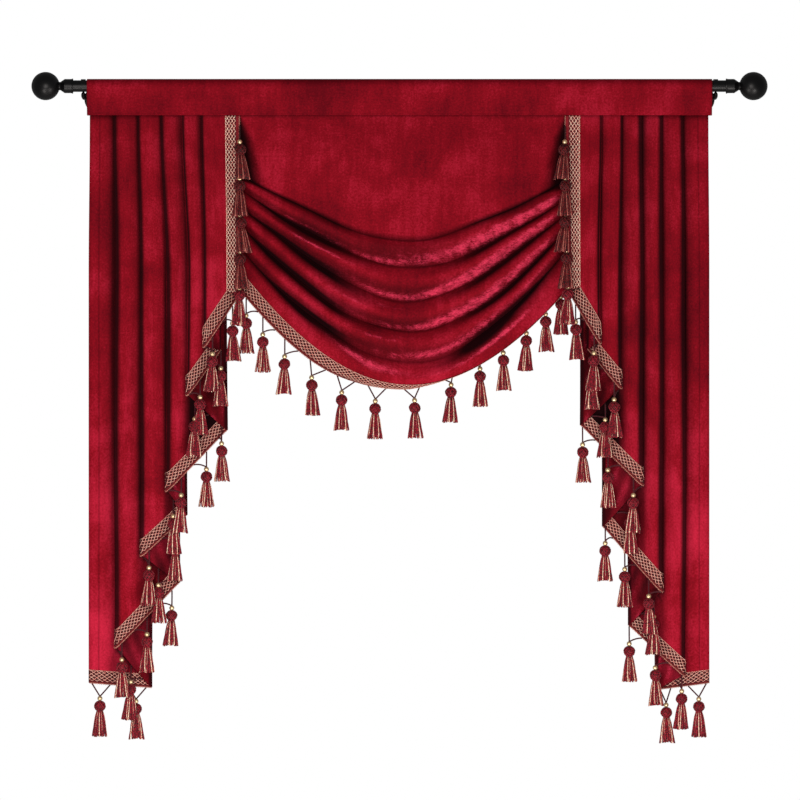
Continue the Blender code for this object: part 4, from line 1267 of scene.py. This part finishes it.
def add_tape(parts, strip, clearance, band):
    # The flat tape under the yarns, a closed strip.
    low = strip.points + strip.normals * clearance
    high = strip.points + strip.normals * (clearance + BRAID_THICKNESS)
    ring = np.concatenate([high, low[:, ::-1]], axis=1)
    rows, size = ring.shape[:2]
    faces = []
    for i in range(rows - 1):
        for k in range(size):
            j = (k + 1) % size
            faces.append((i * size + k, i * size + j, (i + 1) * size + j, (i + 1) * size + k))
    add_part(parts, ring.reshape(-1, 3), faces, 0)
    add_caps(parts, rows, size, 0)

    # The ground between the lattice's yarns is woven in a near black red.
    last = size // 2 - 1
    for k in range(last):
        if k >= band * last:
            for i in range(rows - 1):
                parts["slots"][-2 - (rows - 1) * size + i * size + k] = 3


def add_lattice(parts, strip, clearance, band):
    # Six yarns that run slantwise from edge to edge and back, over and under each other.
    surface = clearance + BRAID_THICKNESS
    low = min(strip.outer[0], strip.inner[0])
    high = max(strip.outer[-1], strip.inner[-1])
    for yarn in range(YARNS):
        along = np.arange(low, high, DIAMOND / STEPS_PER_DIAMOND)
        count = np.arange(len(along))
        phase = (count / STEPS_ACROSS + yarn * STEPS_PER_DIAMOND / STEPS_ACROSS) % 2.0
        up = phase < 1.0
        across = np.where(up, phase, 2.0 - phase)
        woven = np.cos(math.pi * (count % STEPS_PER_DIAMOND) / 2.0) * np.where(up, 1.0, -1.0)
        across = band + BESIDE_BAND + (LATTICE_TO - band - BESIDE_BAND) * across
        height = surface + YARN_DEPTH * (0.8 + 0.7 * woven)
        kept = strip.holds(along, across)
        runs = np.split(np.arange(len(along)), np.where(np.diff(kept.astype(int)))[0] + 1)
        for run in runs:
            if not kept[run[0]] or len(run) < 2:
                continue
            path = strip.at(along[run], across[run], height[run])
            facing = strip.facing(along[run], across[run])
            add_tube(parts, path, facing, YARN_WIDTH, YARN_DEPTH, 4, 1)


def add_inner_picots(parts, strip, clearance):
    # Tiny loops of yarn along the inner edge.
    along = np.arange(strip.inner[0], strip.inner[-1], INNER_PICOT_PITCH / 2)
    if len(along) < 3:
        return
    across = 1.0 - 0.035 * (np.arange(len(along)) % 2)
    height = np.full(len(along), clearance + BRAID_THICKNESS * 0.8)
    path = strip.at(along, across, height)
    add_tube(parts, path, strip.facing(along, across), 0.0006, 0.0005, 4, 1)


def add_edge_cord(parts, line, outward, normals):
    # A two-ply cream cord past the edge of the cloth, with a small loop every few millimetres.
    gone = edge_distance(line)
    at = np.arange(0.0, gone[-1], PLY_STEP)
    path, out, facing = (on_line(v, gone, at) for v in (line, outward, normals))
    out, facing = unit(out), unit(facing)
    for start in (0.0, math.pi):
        turn = start + 2.0 * math.pi * at / PLY_PITCH
        offset = out * np.cos(turn)[:, None] + facing * np.sin(turn)[:, None]
        add_tube(parts, path + offset * PLY_RADIUS * 0.85, offset, PLY_RADIUS, PLY_RADIUS, 5, 2)
    turns = 2.0 * math.pi * np.arange(6) / 6
    for at in np.arange(PICOT_PITCH, gone[-1] - PICOT_PITCH, PICOT_PITCH):
        base, away, front = (on_line(v, gone, at) for v in (line, outward, normals))
        if front[1] > 0.0:
            continue
        away, front = unit(away), unit(front)
        along = unit(np.cross(away, front))
        loop = (
            base + away * PICOT_OUT + np.outer(np.cos(turns), away) * PICOT_DEEP
            + np.outer(np.sin(turns), along) * PICOT_WIDE)
        add_tube(parts, loop, front, PICOT_YARN, PICOT_YARN, 3, 2, ring=True)


# Braid tape: mercerised cotton and viscose, woven on a narrow loom. It is ribbed across, with a
# faint silky gloss, and its yarns are cream and old gold twisted together.
def yarn_finish(name, colour, other, roughness, pitch, shine=0.22):
    made, tree, shader = new_finish(
        name, colour, Roughness=roughness, Sheen_Weight=0.05, Specular_IOR_Level=shine)
    place = add_node(tree, "ShaderNodeTexCoord").outputs["Object"]
    twist = noise(tree, 1.0 / pitch, place, Detail=2.0, Roughness=0.6)
    shades = shaded(tree, twist, (0.42, other), (0.58, colour))
    # Painted shade: where the mesh's shade value is high the yarn's colour is multiplied towards a
    # dark pinkish red, beside the swag's gathered sides and under its folds.
    with_painted_shade = mixed(tree, field(tree, "shade"), shades, "#aa4550", blend_type="MULTIPLY")
    tree.links.new(with_painted_shade, shader.inputs["Base Color"])
    tree.links.new(bumped(tree, twist, 0.5, 0.0004), shader.inputs["Normal"])
    return made


red_tape = yarn_finish("dark_red_woven_tape", "#8a0c1c", "#5c0610", 0.75, 0.0016)
dark_ground = yarn_finish("near_black_red_ground_weave", "#660a16", "#2a030a", 0.80, 0.0016)
cream_yarn = yarn_finish("cream_and_gold_braid_yarn", "#ffe4cc", "#ee9080", 0.38, 0.0022, 0.45)
cream_cord = yarn_finish("cream_twisted_edge_cord", "#d8a890", "#9a4a48", 0.60, 0.0018)
braid_finish = [red_tape, cream_yarn, cream_cord, dark_ground]


def smoothed(values, places, reach):
    # A value along the braid averaged over the given reach to both sides.
    weights = np.exp(-((places[:, None] - places[None, :]) / reach) ** 2)
    weights *= np.gradient(places)[None, :] + 1e-6
    return (weights * values[None, :]).sum(axis=1) / weights.sum(axis=1)


def tail_strips(columns, grid, folds):
    # The braid of a tail: one strip down the edge beside the swag, and one along the slanted hem.
    side = 1.0 if folds[0][0] > 0 else -1.0
    normals = cloth_normals(grid) * side
    width = abs(folds[1][1] - folds[0][1])
    inside = [
        i for i, (kind, layer, share) in enumerate(columns)
        if kind == "flat" and layer == 0 and share <= BRAID_WIDTH / width + 1e-6]
    last = inside[-1]
    corner_top = braid_top(folds, columns[last])

    # Down the edge, as far as the mitre at the corner allows at each place across.
    points, facing, outer, inner = [], [], [], []
    end_drop = folds[0][2]
    for share in np.linspace(0.0, 1.0, EDGE_STATIONS):
        row_points, row_normals = [], []
        for i in inside:
            w = columns[i][2] / columns[last][2]
            low = end_drop + (corner_top - end_drop) * w
            length = low - SEAM_DROP - BRAID_BELOW_SEAM
            drop = SEAM_DROP + BRAID_BELOW_SEAM + length * share
            drops = ROD_HEIGHT - grid[i, :, 2]
            row_points.append(on_line(grid[i], drops, drop))
            row_normals.append(on_line(normals[i], drops, drop))
        points.append(row_points)
        facing.append(row_normals)
        outer.append(share * (end_drop - SEAM_DROP))
        inner.append(share * (corner_top - SEAM_DROP))
    edge_strip = Strip(points, facing, outer, inner)

    # Along the hem, from the mitre to the outer corner.
    start = outer[-1]
    hem_points = grid[last:, ROWS_ABOVE_BRAID - 1:][:, ::-1]
    hem_normals = normals[last:, ROWS_ABOVE_BRAID - 1:][:, ::-1]
    across = np.linspace(0.0, 1.0, hem_points.shape[1])
    narrow = np.linspace(0.0, 1.0, len(inside))
    strip_points, strip_normals = (
        np.concatenate([on_line(np.array(row[-1]), narrow, across)[None], rest])
        for row, rest in ((points, hem_points), (facing, hem_normals)))
    places = edge_distance(strip_points[:, 0])
    slopes = np.array([tail_hem(folds, column)[1] for column in columns[last:]])
    slopes = smoothed(slopes, places[1:], 0.030)
    outer = start + places
    inner = outer - BRAID_WIDTH * np.concatenate([[slopes[0]], slopes])
    inner[0] = start + BRAID_WIDTH * (math.hypot(1.0, slopes[0]) - slopes[0])
    hem_strip = Strip(strip_points, strip_normals, outer, inner)

    # The line of the edge cord, and which way is outwards from the cloth.
    sideways = np.tile((-side, 0.0, 0.0), (len(points), 1))
    downwards = np.tile((0.0, 0.0, -1.0), (len(slopes), 1)) * np.hypot(1.0, slopes)[:, None]
    edge = np.concatenate([edge_strip.points[:, 0], strip_points[1:, 0]])
    fronts = unit(np.concatenate([edge_strip.normals[:, 0], strip_normals[1:, 0]]))
    return edge_strip, hem_strip, edge, np.concatenate([sideways, downwards]), fronts


def make_braid(name, strips, clearance, edge, beyond, fronts, cord_out):
    # A braid of its strips, each with its outer band's share and its ground's and yarns' shades.
    # Returned with the line from which the tassels' loops hang.
    parts = new_parts()
    for strip, band, ground_shade, yarn_shade in strips:
        parts["now"] = ground_shade
        add_tape(parts, strip, clearance, band)
        parts["now"] = yarn_shade
        add_lattice(parts, strip, clearance, band)
        add_inner_picots(parts, strip, clearance)
    line = edge + beyond * cord_out + fronts * (clearance + EDGE_CORD_UP)
    add_edge_cord(parts, line, beyond, fronts)
    piece = parts_piece("lattice_braid_" + name, parts, braid_finish, "trim_" + name)
    return piece, edge + beyond * LOOP_ROOT_OUT + fronts * (clearance + LOOP_ROOT_UP)


braids = {}
cord_lines = {}
for name, folds in (("left", LEFT_TAIL), ("right", RIGHT_TAIL)):
    columns, grid = tails[name][1:]
    edge_strip, hem_strip, edge, beyond, fronts = tail_strips(columns, grid, folds)
    strips = (
        (edge_strip, EDGE_BAND, 0.0, 0.0), (hem_strip, HEM_BAND, GROUND_SHADE, YARN_SHADE))
    cord_out = np.where(fronts[:, 1] > 0.0, EDGE_CORD_IN, EDGE_CORD_OUT)[:, None]
    braids[name], cord_lines[name] = make_braid(
        name, strips, TAIL_THICKNESS / 2 + TAPE_CLEARANCE, edge, beyond, fronts, cord_out)

# The swag's braid lies on its hem strip, and goes out of sight where that curls under.
inset = int(round(SWAG_BRAID_INSET / (swag_x[1] - swag_x[0])))
braid_rows = np.linspace(LAST_LINE + 1.0, LAST_LINE + 0.06, 12)
swag_points = np.stack(
    [swag_surface(swag_x, np.full(len(swag_x), down))[0] for down in braid_rows], axis=1)
swag_facing = -cloth_normals(swag_points)
swag_points, swag_facing = swag_points[inset:-inset], swag_facing[inset:-inset]
swag_places = edge_distance(swag_points[:, 0])
swag_slope = np.gradient(-swag_points[:, 0, 2], swag_points[:, 0, 0])
swag_strip = Strip(swag_points, swag_facing, swag_places, swag_places - HEM_STRIP * swag_slope)
swag_out = unit(swag_points[:, 0] - swag_points[:, 3])
braids["swag"], cord_lines["swag"] = make_braid(
    "swag", ((swag_strip, SWAG_BAND, GROUND_SHADE, YARN_SHADE),),
    SWAG_THICKNESS / 2 + SWAG_TAPE_CLEARANCE, swag_points[:, 0], swag_out, swag_facing[:, 0],
    EDGE_CORD_OUT)


# Tassels
# Each hangs from the edge cord on a loop of thin dark cord by a gilt bead: a wooden ball bound
# with crossing strands of red yarn, and a skirt of red and cream yarn tied in under it.

TASSELS_ON_TAIL = 23
TAIL_TRIM_ENDS = (0.046, 0.030)
LOOP_SPREAD = 0.022
LOOP_LENGTH = 0.036
LOOP_RADIUS = 0.0019
LOOP_ARCH = 0.16
LEAN_ON_EDGE = 0.014
LEAN_ON_FACE = 0.006
LEAN_ON_RETURN = 0.014
LEAN_ON_SWAG = 0.002
LEAN_BEHIND_CURL = -0.008
CURLED_FROM = 0.07
LONGEST_LEAN = 0.027
TASSEL_TILT = 0.16
TASSEL_ROOM = 0.035
TASSEL_FALL = 0.100
BEAD_RADIUS = 0.0061
NECK_TOP = 0.0098
HEAD_TOP = 0.0115
HEAD_LENGTH = 0.0255
HEAD_WIDE = 0.0134
HEAD_DEEP = 0.0102
CORE_INSET = 0.0022
BINDING_INSET = 0.0008
BINDINGS = 8
SKIRT_TOP = 0.0355
SKIRT_LENGTH = 0.0620
SKIRT_WIDE = 0.0178
SKIRT_DEEP = 0.0068
OUTER_STRANDS = 34
INNER_STRANDS = 20
RED_STRAND = 0.0018
CREAM_STRAND = 0.0009
STRAND_DEPTH = 0.0011
LOWEST_BESIDE_SWAG = -0.38
SHADE_BESIDE_SWAG = 0.85
SWAY = 0.030
SWAY_BESIDE_SWAG = 0.13
UP = np.array((0.0, 0.0, 1.0))

# The middle of each tassel's loop on the swag, by its x.
SWAG_TASSELS = (
    -0.354, -0.313, -0.259, -0.196, -0.129, -0.054, 0.030, 0.111, 0.179, 0.233, 0.289, 0.336, 0.374,
)

red_yarn = yarn_finish("red_tassel_yarn", "#8a0a20", "#30020a", 0.60, 0.0026)
cream_tassel = yarn_finish("cream_tassel_yarn", "#f8dec2", "#c4826e", 0.52, 0.0030)
dark_cord = yarn_finish("maroon_loop_cord", "#4c0c18", "#24050b", 0.80, 0.0012)

# Gilt bead: brass-coloured lacquer on a turned wooden ball, evenly glossy with small dull spots.
gilt_bead, tree, shader = new_finish(
    "gilt_lacquered_bead", "#e0c498", Roughness=0.28, Metallic=0.80)
place = add_node(tree, "ShaderNodeTexCoord").outputs["Object"]
spots = noise(tree, 420.0, place, Detail=2.0)
tree.links.new(ranged(tree, spots, to_low=0.20, to_high=0.42), shader.inputs["Roughness"])


def bead_top(first, second, forward):
    # Where a bead on a loop hangs: under the higher end if the loop is slack, else between.
    if second[2] > first[2]:
        first, second = second, first
    lean = np.array((0.0, -forward, 0.0))
    reach = math.sqrt(max(LOOP_LENGTH ** 2 - forward ** 2, 0.0))
    under = first - UP * reach
    if math.hypot(second[0] - under[0], second[2] - under[2]) <= LOOP_LENGTH:
        return np.array((under[0], (first[1] + second[1]) / 2, under[2])) + lean
    flat = np.array((second[0] - first[0], 0.0, second[2] - first[2]))
    half = min(np.linalg.norm(flat) / 2, reach * 0.98)
    sag = math.sqrt(reach ** 2 - half ** 2)
    flat = unit(flat)
    down = np.array((flat[2], 0.0, -flat[0]))
    down *= -1.0 if down[2] > 0.0 else 1.0
    return (first + second) / 2 + down * sag + lean


def clear_of(top, hung):
    # Whether a tassel would hang free of the lower ones, which it passes in front of.
    for other in hung:
        across = abs(top[0] - other[0]) / TASSEL_ROOM
        fall = abs(top[2] - other[2])
        if across >= 1.0 or fall >= TASSEL_FALL:
            continue
        ahead = other[1] - top[1] if top[2] > other[2] else top[1] - other[1]
        room = 0.0165 if fall < 0.080 else 0.0135
        if ahead + TASSEL_TILT * fall < room * math.sqrt(1.0 - across ** 2):
            return False
    return True


def loop_places(line, middles, leans):
    # For each tassel, from the last to the first, its loop's two ends on the edge of the braid and
    # the top of its bead, which leans out until it is clear of those below.
    gone = edge_distance(line)
    places = []
    for at, lean in zip(reversed(middles), reversed(leans)):
        first, second = on_line(line, gone, np.array([at - LOOP_SPREAD, at + LOOP_SPREAD]))
        top = bead_top(first, second, lean)
        while lean < LONGEST_LEAN and not clear_of(top, [p[2] for p in places]):
            lean += 0.001
            top = bead_top(first, second, lean)
        places.append((first, second, top))
    return places


def tail_lean(columns, line, at):
    # How far a tassel first leans out: least on the faces of the pleats.
    number = int(np.searchsorted(edge_distance(line), at)) - EDGE_STATIONS
    if number < 0:
        return LEAN_ON_EDGE
    on_hem = columns[len(columns) - (len(line) - EDGE_STATIONS):]
    kind, layer, value = on_hem[min(number, len(on_hem) - 1)]
    layer = layer if kind == "flat" else layer - 1
    on_face = layer % 2 == 0 and (kind == "flat" or value < -60.0)
    return LEAN_ON_FACE if on_face else LEAN_ON_RETURN


def add_turned(parts, rings, centre, sides, slot):
    # A closed turned shape from (drop, half width, half depth) rings under a point.
    turns = 2.0 * math.pi * np.arange(sides) / sides
    points = [
        centre + np.stack([
            wide * np.cos(turns) + parts["sway"] * drop, deep * np.sin(turns) - TASSEL_TILT * drop,
            np.full(sides, -drop)], axis=-1)
        for drop, wide, deep in reversed(rings)]
    faces = []
    for i in range(len(rings) - 1):
        for k in range(sides):
            j = (k + 1) % sides
            faces.append((i * sides + k, i * sides + j, (i + 1) * sides + j, (i + 1) * sides + k))
    add_part(parts, np.concatenate(points), faces, slot)
    add_caps(parts, len(rings), sides, slot)


def ball_rings(top, length, wide, deep):
    # The rings of a ball that is a little flattened, from its top.
    turns = np.linspace(0.12, math.pi - 0.12, 8)
    return [
        (top + length * (1.0 - math.cos(t)) / 2, wide * math.sin(t), deep * math.sin(t))
        for t in turns]


def add_loop(parts, first, second, top):
    # The two arms of the loop cord, which is stiff: the slack one arches over to the bead.
    stop = top - UP * 0.0012
    for end in (first, second):
        span = np.linalg.norm(end - stop)
        slack = math.sqrt(max(LOOP_LENGTH ** 2 - span ** 2, 0.0)) * LOOP_ARCH
        shares = np.linspace(0.0, 1.0, 9)[:, None]
        arch = slack * 4.0 * shares * (1.0 - shares)
        path = end + (stop - end) * shares + UP * arch
        add_tube(parts, path, (0.0, -1.0, 0.0), LOOP_RADIUS, LOOP_RADIUS, 5, 3)


def add_tassel(parts, top, number):
    # Bead, bound head and skirt; the number makes each one a little different.
    add_turned(parts, ball_rings(0.0, 2 * BEAD_RADIUS, BEAD_RADIUS, BEAD_RADIUS), top, 12, 2)
    neck = [(NECK_TOP, 0.0021, 0.0021), (HEAD_TOP + 0.002, 0.0026, 0.0026)]
    add_turned(parts, neck, top, 8, 0)
    core = ball_rings(
        HEAD_TOP + 0.0010, HEAD_LENGTH - 0.0020, HEAD_WIDE - CORE_INSET, HEAD_DEEP - CORE_INSET)
    add_turned(parts, core, top, 12, 0)
    lean = np.array((parts["sway"], -TASSEL_TILT, 0.0))
    spin = 0.7 * number

    # The binding: two sets of strands that slant opposite ways over the ball.
    turn = np.linspace(0.20, math.pi - 0.20, 8)
    drop = HEAD_TOP + HEAD_LENGTH * (1.0 - np.cos(turn)) / 2
    for way in (1.0, -1.0):
        for k in range(BINDINGS):
            round_ball = spin + 2.0 * math.pi * (k + 0.25 * way) / BINDINGS
            round_ball = round_ball + way * 0.85 * np.cos(turn)
            grow = 0.0006 * (1.0 + way * np.cos(2.0 * turn + k)) - BINDING_INSET
            wide = (HEAD_WIDE + grow) * np.sin(turn)
            deep = (HEAD_DEEP + grow) * np.sin(turn)
            out = np.stack([np.cos(round_ball), np.sin(round_ball), np.zeros(len(turn))], axis=-1)
            path = np.stack([wide * out[:, 0], deep * out[:, 1], -drop], axis=-1)
            facing = out * np.sin(turn)[:, None] + UP * np.cos(turn)[:, None]
            add_tube(parts, top + path + lean * drop[:, None], facing, 0.0017, 0.0013, 4, 0)
    collar = [
        (SKIRT_TOP - 0.0010, 0.0068, 0.0056), (SKIRT_TOP, 0.0078, 0.0064),
        (SKIRT_TOP + 0.0012, 0.0078, 0.0064), (SKIRT_TOP + 0.0024, 0.0066, 0.0054)]
    add_turned(parts, collar, top, 12, 0)

    # The skirt: an outer and an inner ring of strands that spread as they fall.
    share = np.linspace(0.0, 1.0, 6)
    flare = 0.40 + 0.60 * share ** 0.75
    for ring, count, spread in ((0, OUTER_STRANDS, 1.0), (1, INNER_STRANDS, 0.55)):
        for k in range(count):
            turn = spin + 2.0 * math.pi * (k + 0.5 * ring) / count
            uneven = math.sin(12.9 * k + 4.1 * number + 2.0 * ring)
            wilful = math.sin(7.3 * k + 2.9 * number + ring)
            length = SKIRT_LENGTH - 0.0012 + 0.0014 * uneven - 0.002 * ring
            drop = SKIRT_TOP + length * share
            along = turn + 0.10 * wilful * share ** 2 * math.pi
            waver = 0.0007 * wilful * np.sin(5.0 * share)
            wide = spread * SKIRT_WIDE * flare * np.cos(along) + waver
            deep = spread * SKIRT_DEEP * flare * np.sin(along)
            path = top + np.stack([wide, deep, -drop], axis=-1) + lean * drop[:, None]
            cream = (k * 5 + number) % 11 in (0, 4, 8)
            thick = (CREAM_STRAND if cream else RED_STRAND) * (1.0 + 0.35 * share)
            out = np.array((math.cos(turn), math.sin(turn), 0.0))
            add_tube(parts, path, out, thick, STRAND_DEPTH, 4, 1 if cream else 0)


for name in ("left", "right", "swag"):
    line = cord_lines[name]
    gone = edge_distance(line)
    if name == "swag":
        middles = np.interp(SWAG_TASSELS, line[:, 0], gone)
        leans = [
            LEAN_ON_SWAG if np.interp(at, gone, line[:, 0]) < CURLED_FROM else LEAN_BEHIND_CURL
            for at in middles]
    else:
        middles = np.linspace(
            TAIL_TRIM_ENDS[0], gone[-1] - TAIL_TRIM_ENDS[1], TASSELS_ON_TAIL)
        leans = [tail_lean(tails[name][1], line, at) for at in middles]
    parts = new_parts()
    for number, (first, second, top) in enumerate(loop_places(line, middles, leans)):
        beside_swag = name != "swag" and top[2] > LOWEST_BESIDE_SWAG
        # Tassels beside the swag's gathered sides get painted shade.
        parts["now"] = SHADE_BESIDE_SWAG if beside_swag else 0.0
        parts["sway"] = SWAY * math.sin(2.3 * number)
        if beside_swag:
            aside = -math.copysign(SWAY_BESIDE_SWAG, top[0])
            parts["sway"] = aside * (0.55 + 0.45 * math.sin(2.3 * number))
        add_loop(parts, first, second, top)
        add_tassel(parts, top, number)
    parts_piece(
        "tassels_" + name, parts, [red_yarn, cream_tassel, gilt_bead, dark_cord], "trim_" + name)


# How the cloths were cut: the rod pocket was one straight band, the swag was cut wider than it
# hangs deep, and each tail on a slant, so that their flat areas are less than their widths times
# their lengths.


# Studio
# A pale floor under the valance, an even white surround, one large soft light in front and a little
# to the left, two weak ones low in front of the tails, and a long lens level with the middle.

FLOOR_HEIGHT = -2.30
PHOTO_CENTRE = Vector((0.0012, -PLEAT_FRONT, -0.7256))
PHOTO_WIDTH = 1.920
LENS = 300.0
SENSOR = 36.0

bpy.ops.mesh.primitive_plane_add(size=9.0, location=(0.0, -1.5, FLOOR_HEIGHT))
floor = bpy.context.object
floor.name = "studio_floor"
pale_floor, tree, shader = new_finish("pale_painted_studio_floor", "#f0efed", Roughness=0.9)
floor.data.materials.append(pale_floor)

studio = bpy.context.scene
surround = bpy.data.worlds.new("white_studio")
studio.world = surround
surround.use_nodes = True
air = surround.node_tree
air.nodes.clear()
white = (1.0, 1.0, 1.0, 1.0)
path = add_node(air, "ShaderNodeLightPath")
light = add_node(air, "ShaderNodeBackground", {"Color": white, "Strength": 0.24})
seen = add_node(air, "ShaderNodeBackground", {"Color": white, "Strength": 1.0})
both = add_node(air, "ShaderNodeMixShader", {}, {
    0: path.outputs["Is Camera Ray"], 1: light.outputs["Background"],
    2: seen.outputs["Background"]})
add_node(air, "ShaderNodeOutputWorld", {}, {"Surface": both.outputs["Shader"]})

# name, place, width and height, power, colour
LIGHTS = (
    ("key", (-0.5, -3.6, -0.3), (1.4, 1.2), 60.0, "#fff8f4"),
    ("low left", (-1.1, -2.0, -1.7), (0.6, 0.8), 25.0, "#fff8f4"),
    ("low right", (1.1, -2.0, -1.7), (0.6, 0.8), 29.0, "#fff8f4"),
)
for name, place, size, power, colour in LIGHTS:
    lamp = bpy.data.lights.new("softbox " + name, "AREA")
    lamp.shape = "RECTANGLE"
    lamp.size, lamp.size_y = size
    lamp.energy = power
    lamp.color = linear(colour)[:3]
    stand = bpy.data.objects.new("softbox " + name, lamp)
    stand.location = place
    aim = PHOTO_CENTRE - Vector(place)
    stand.rotation_euler = aim.to_track_quat("-Z", "Y").to_euler()
    bpy.context.collection.objects.link(stand)

camera_data = bpy.data.cameras.new("camera")
camera_data.lens = LENS
camera_data.sensor_width = SENSOR
camera_data.clip_end = 100.0
camera = bpy.data.objects.new("camera", camera_data)
camera.location = PHOTO_CENTRE - Vector((0.0, PHOTO_WIDTH * LENS / SENSOR, 0.0))
camera.rotation_euler = (math.pi / 2, 0.0, 0.0)
bpy.context.collection.objects.link(camera)
studio.camera = camera
studio.view_settings.view_transform = "Standard"
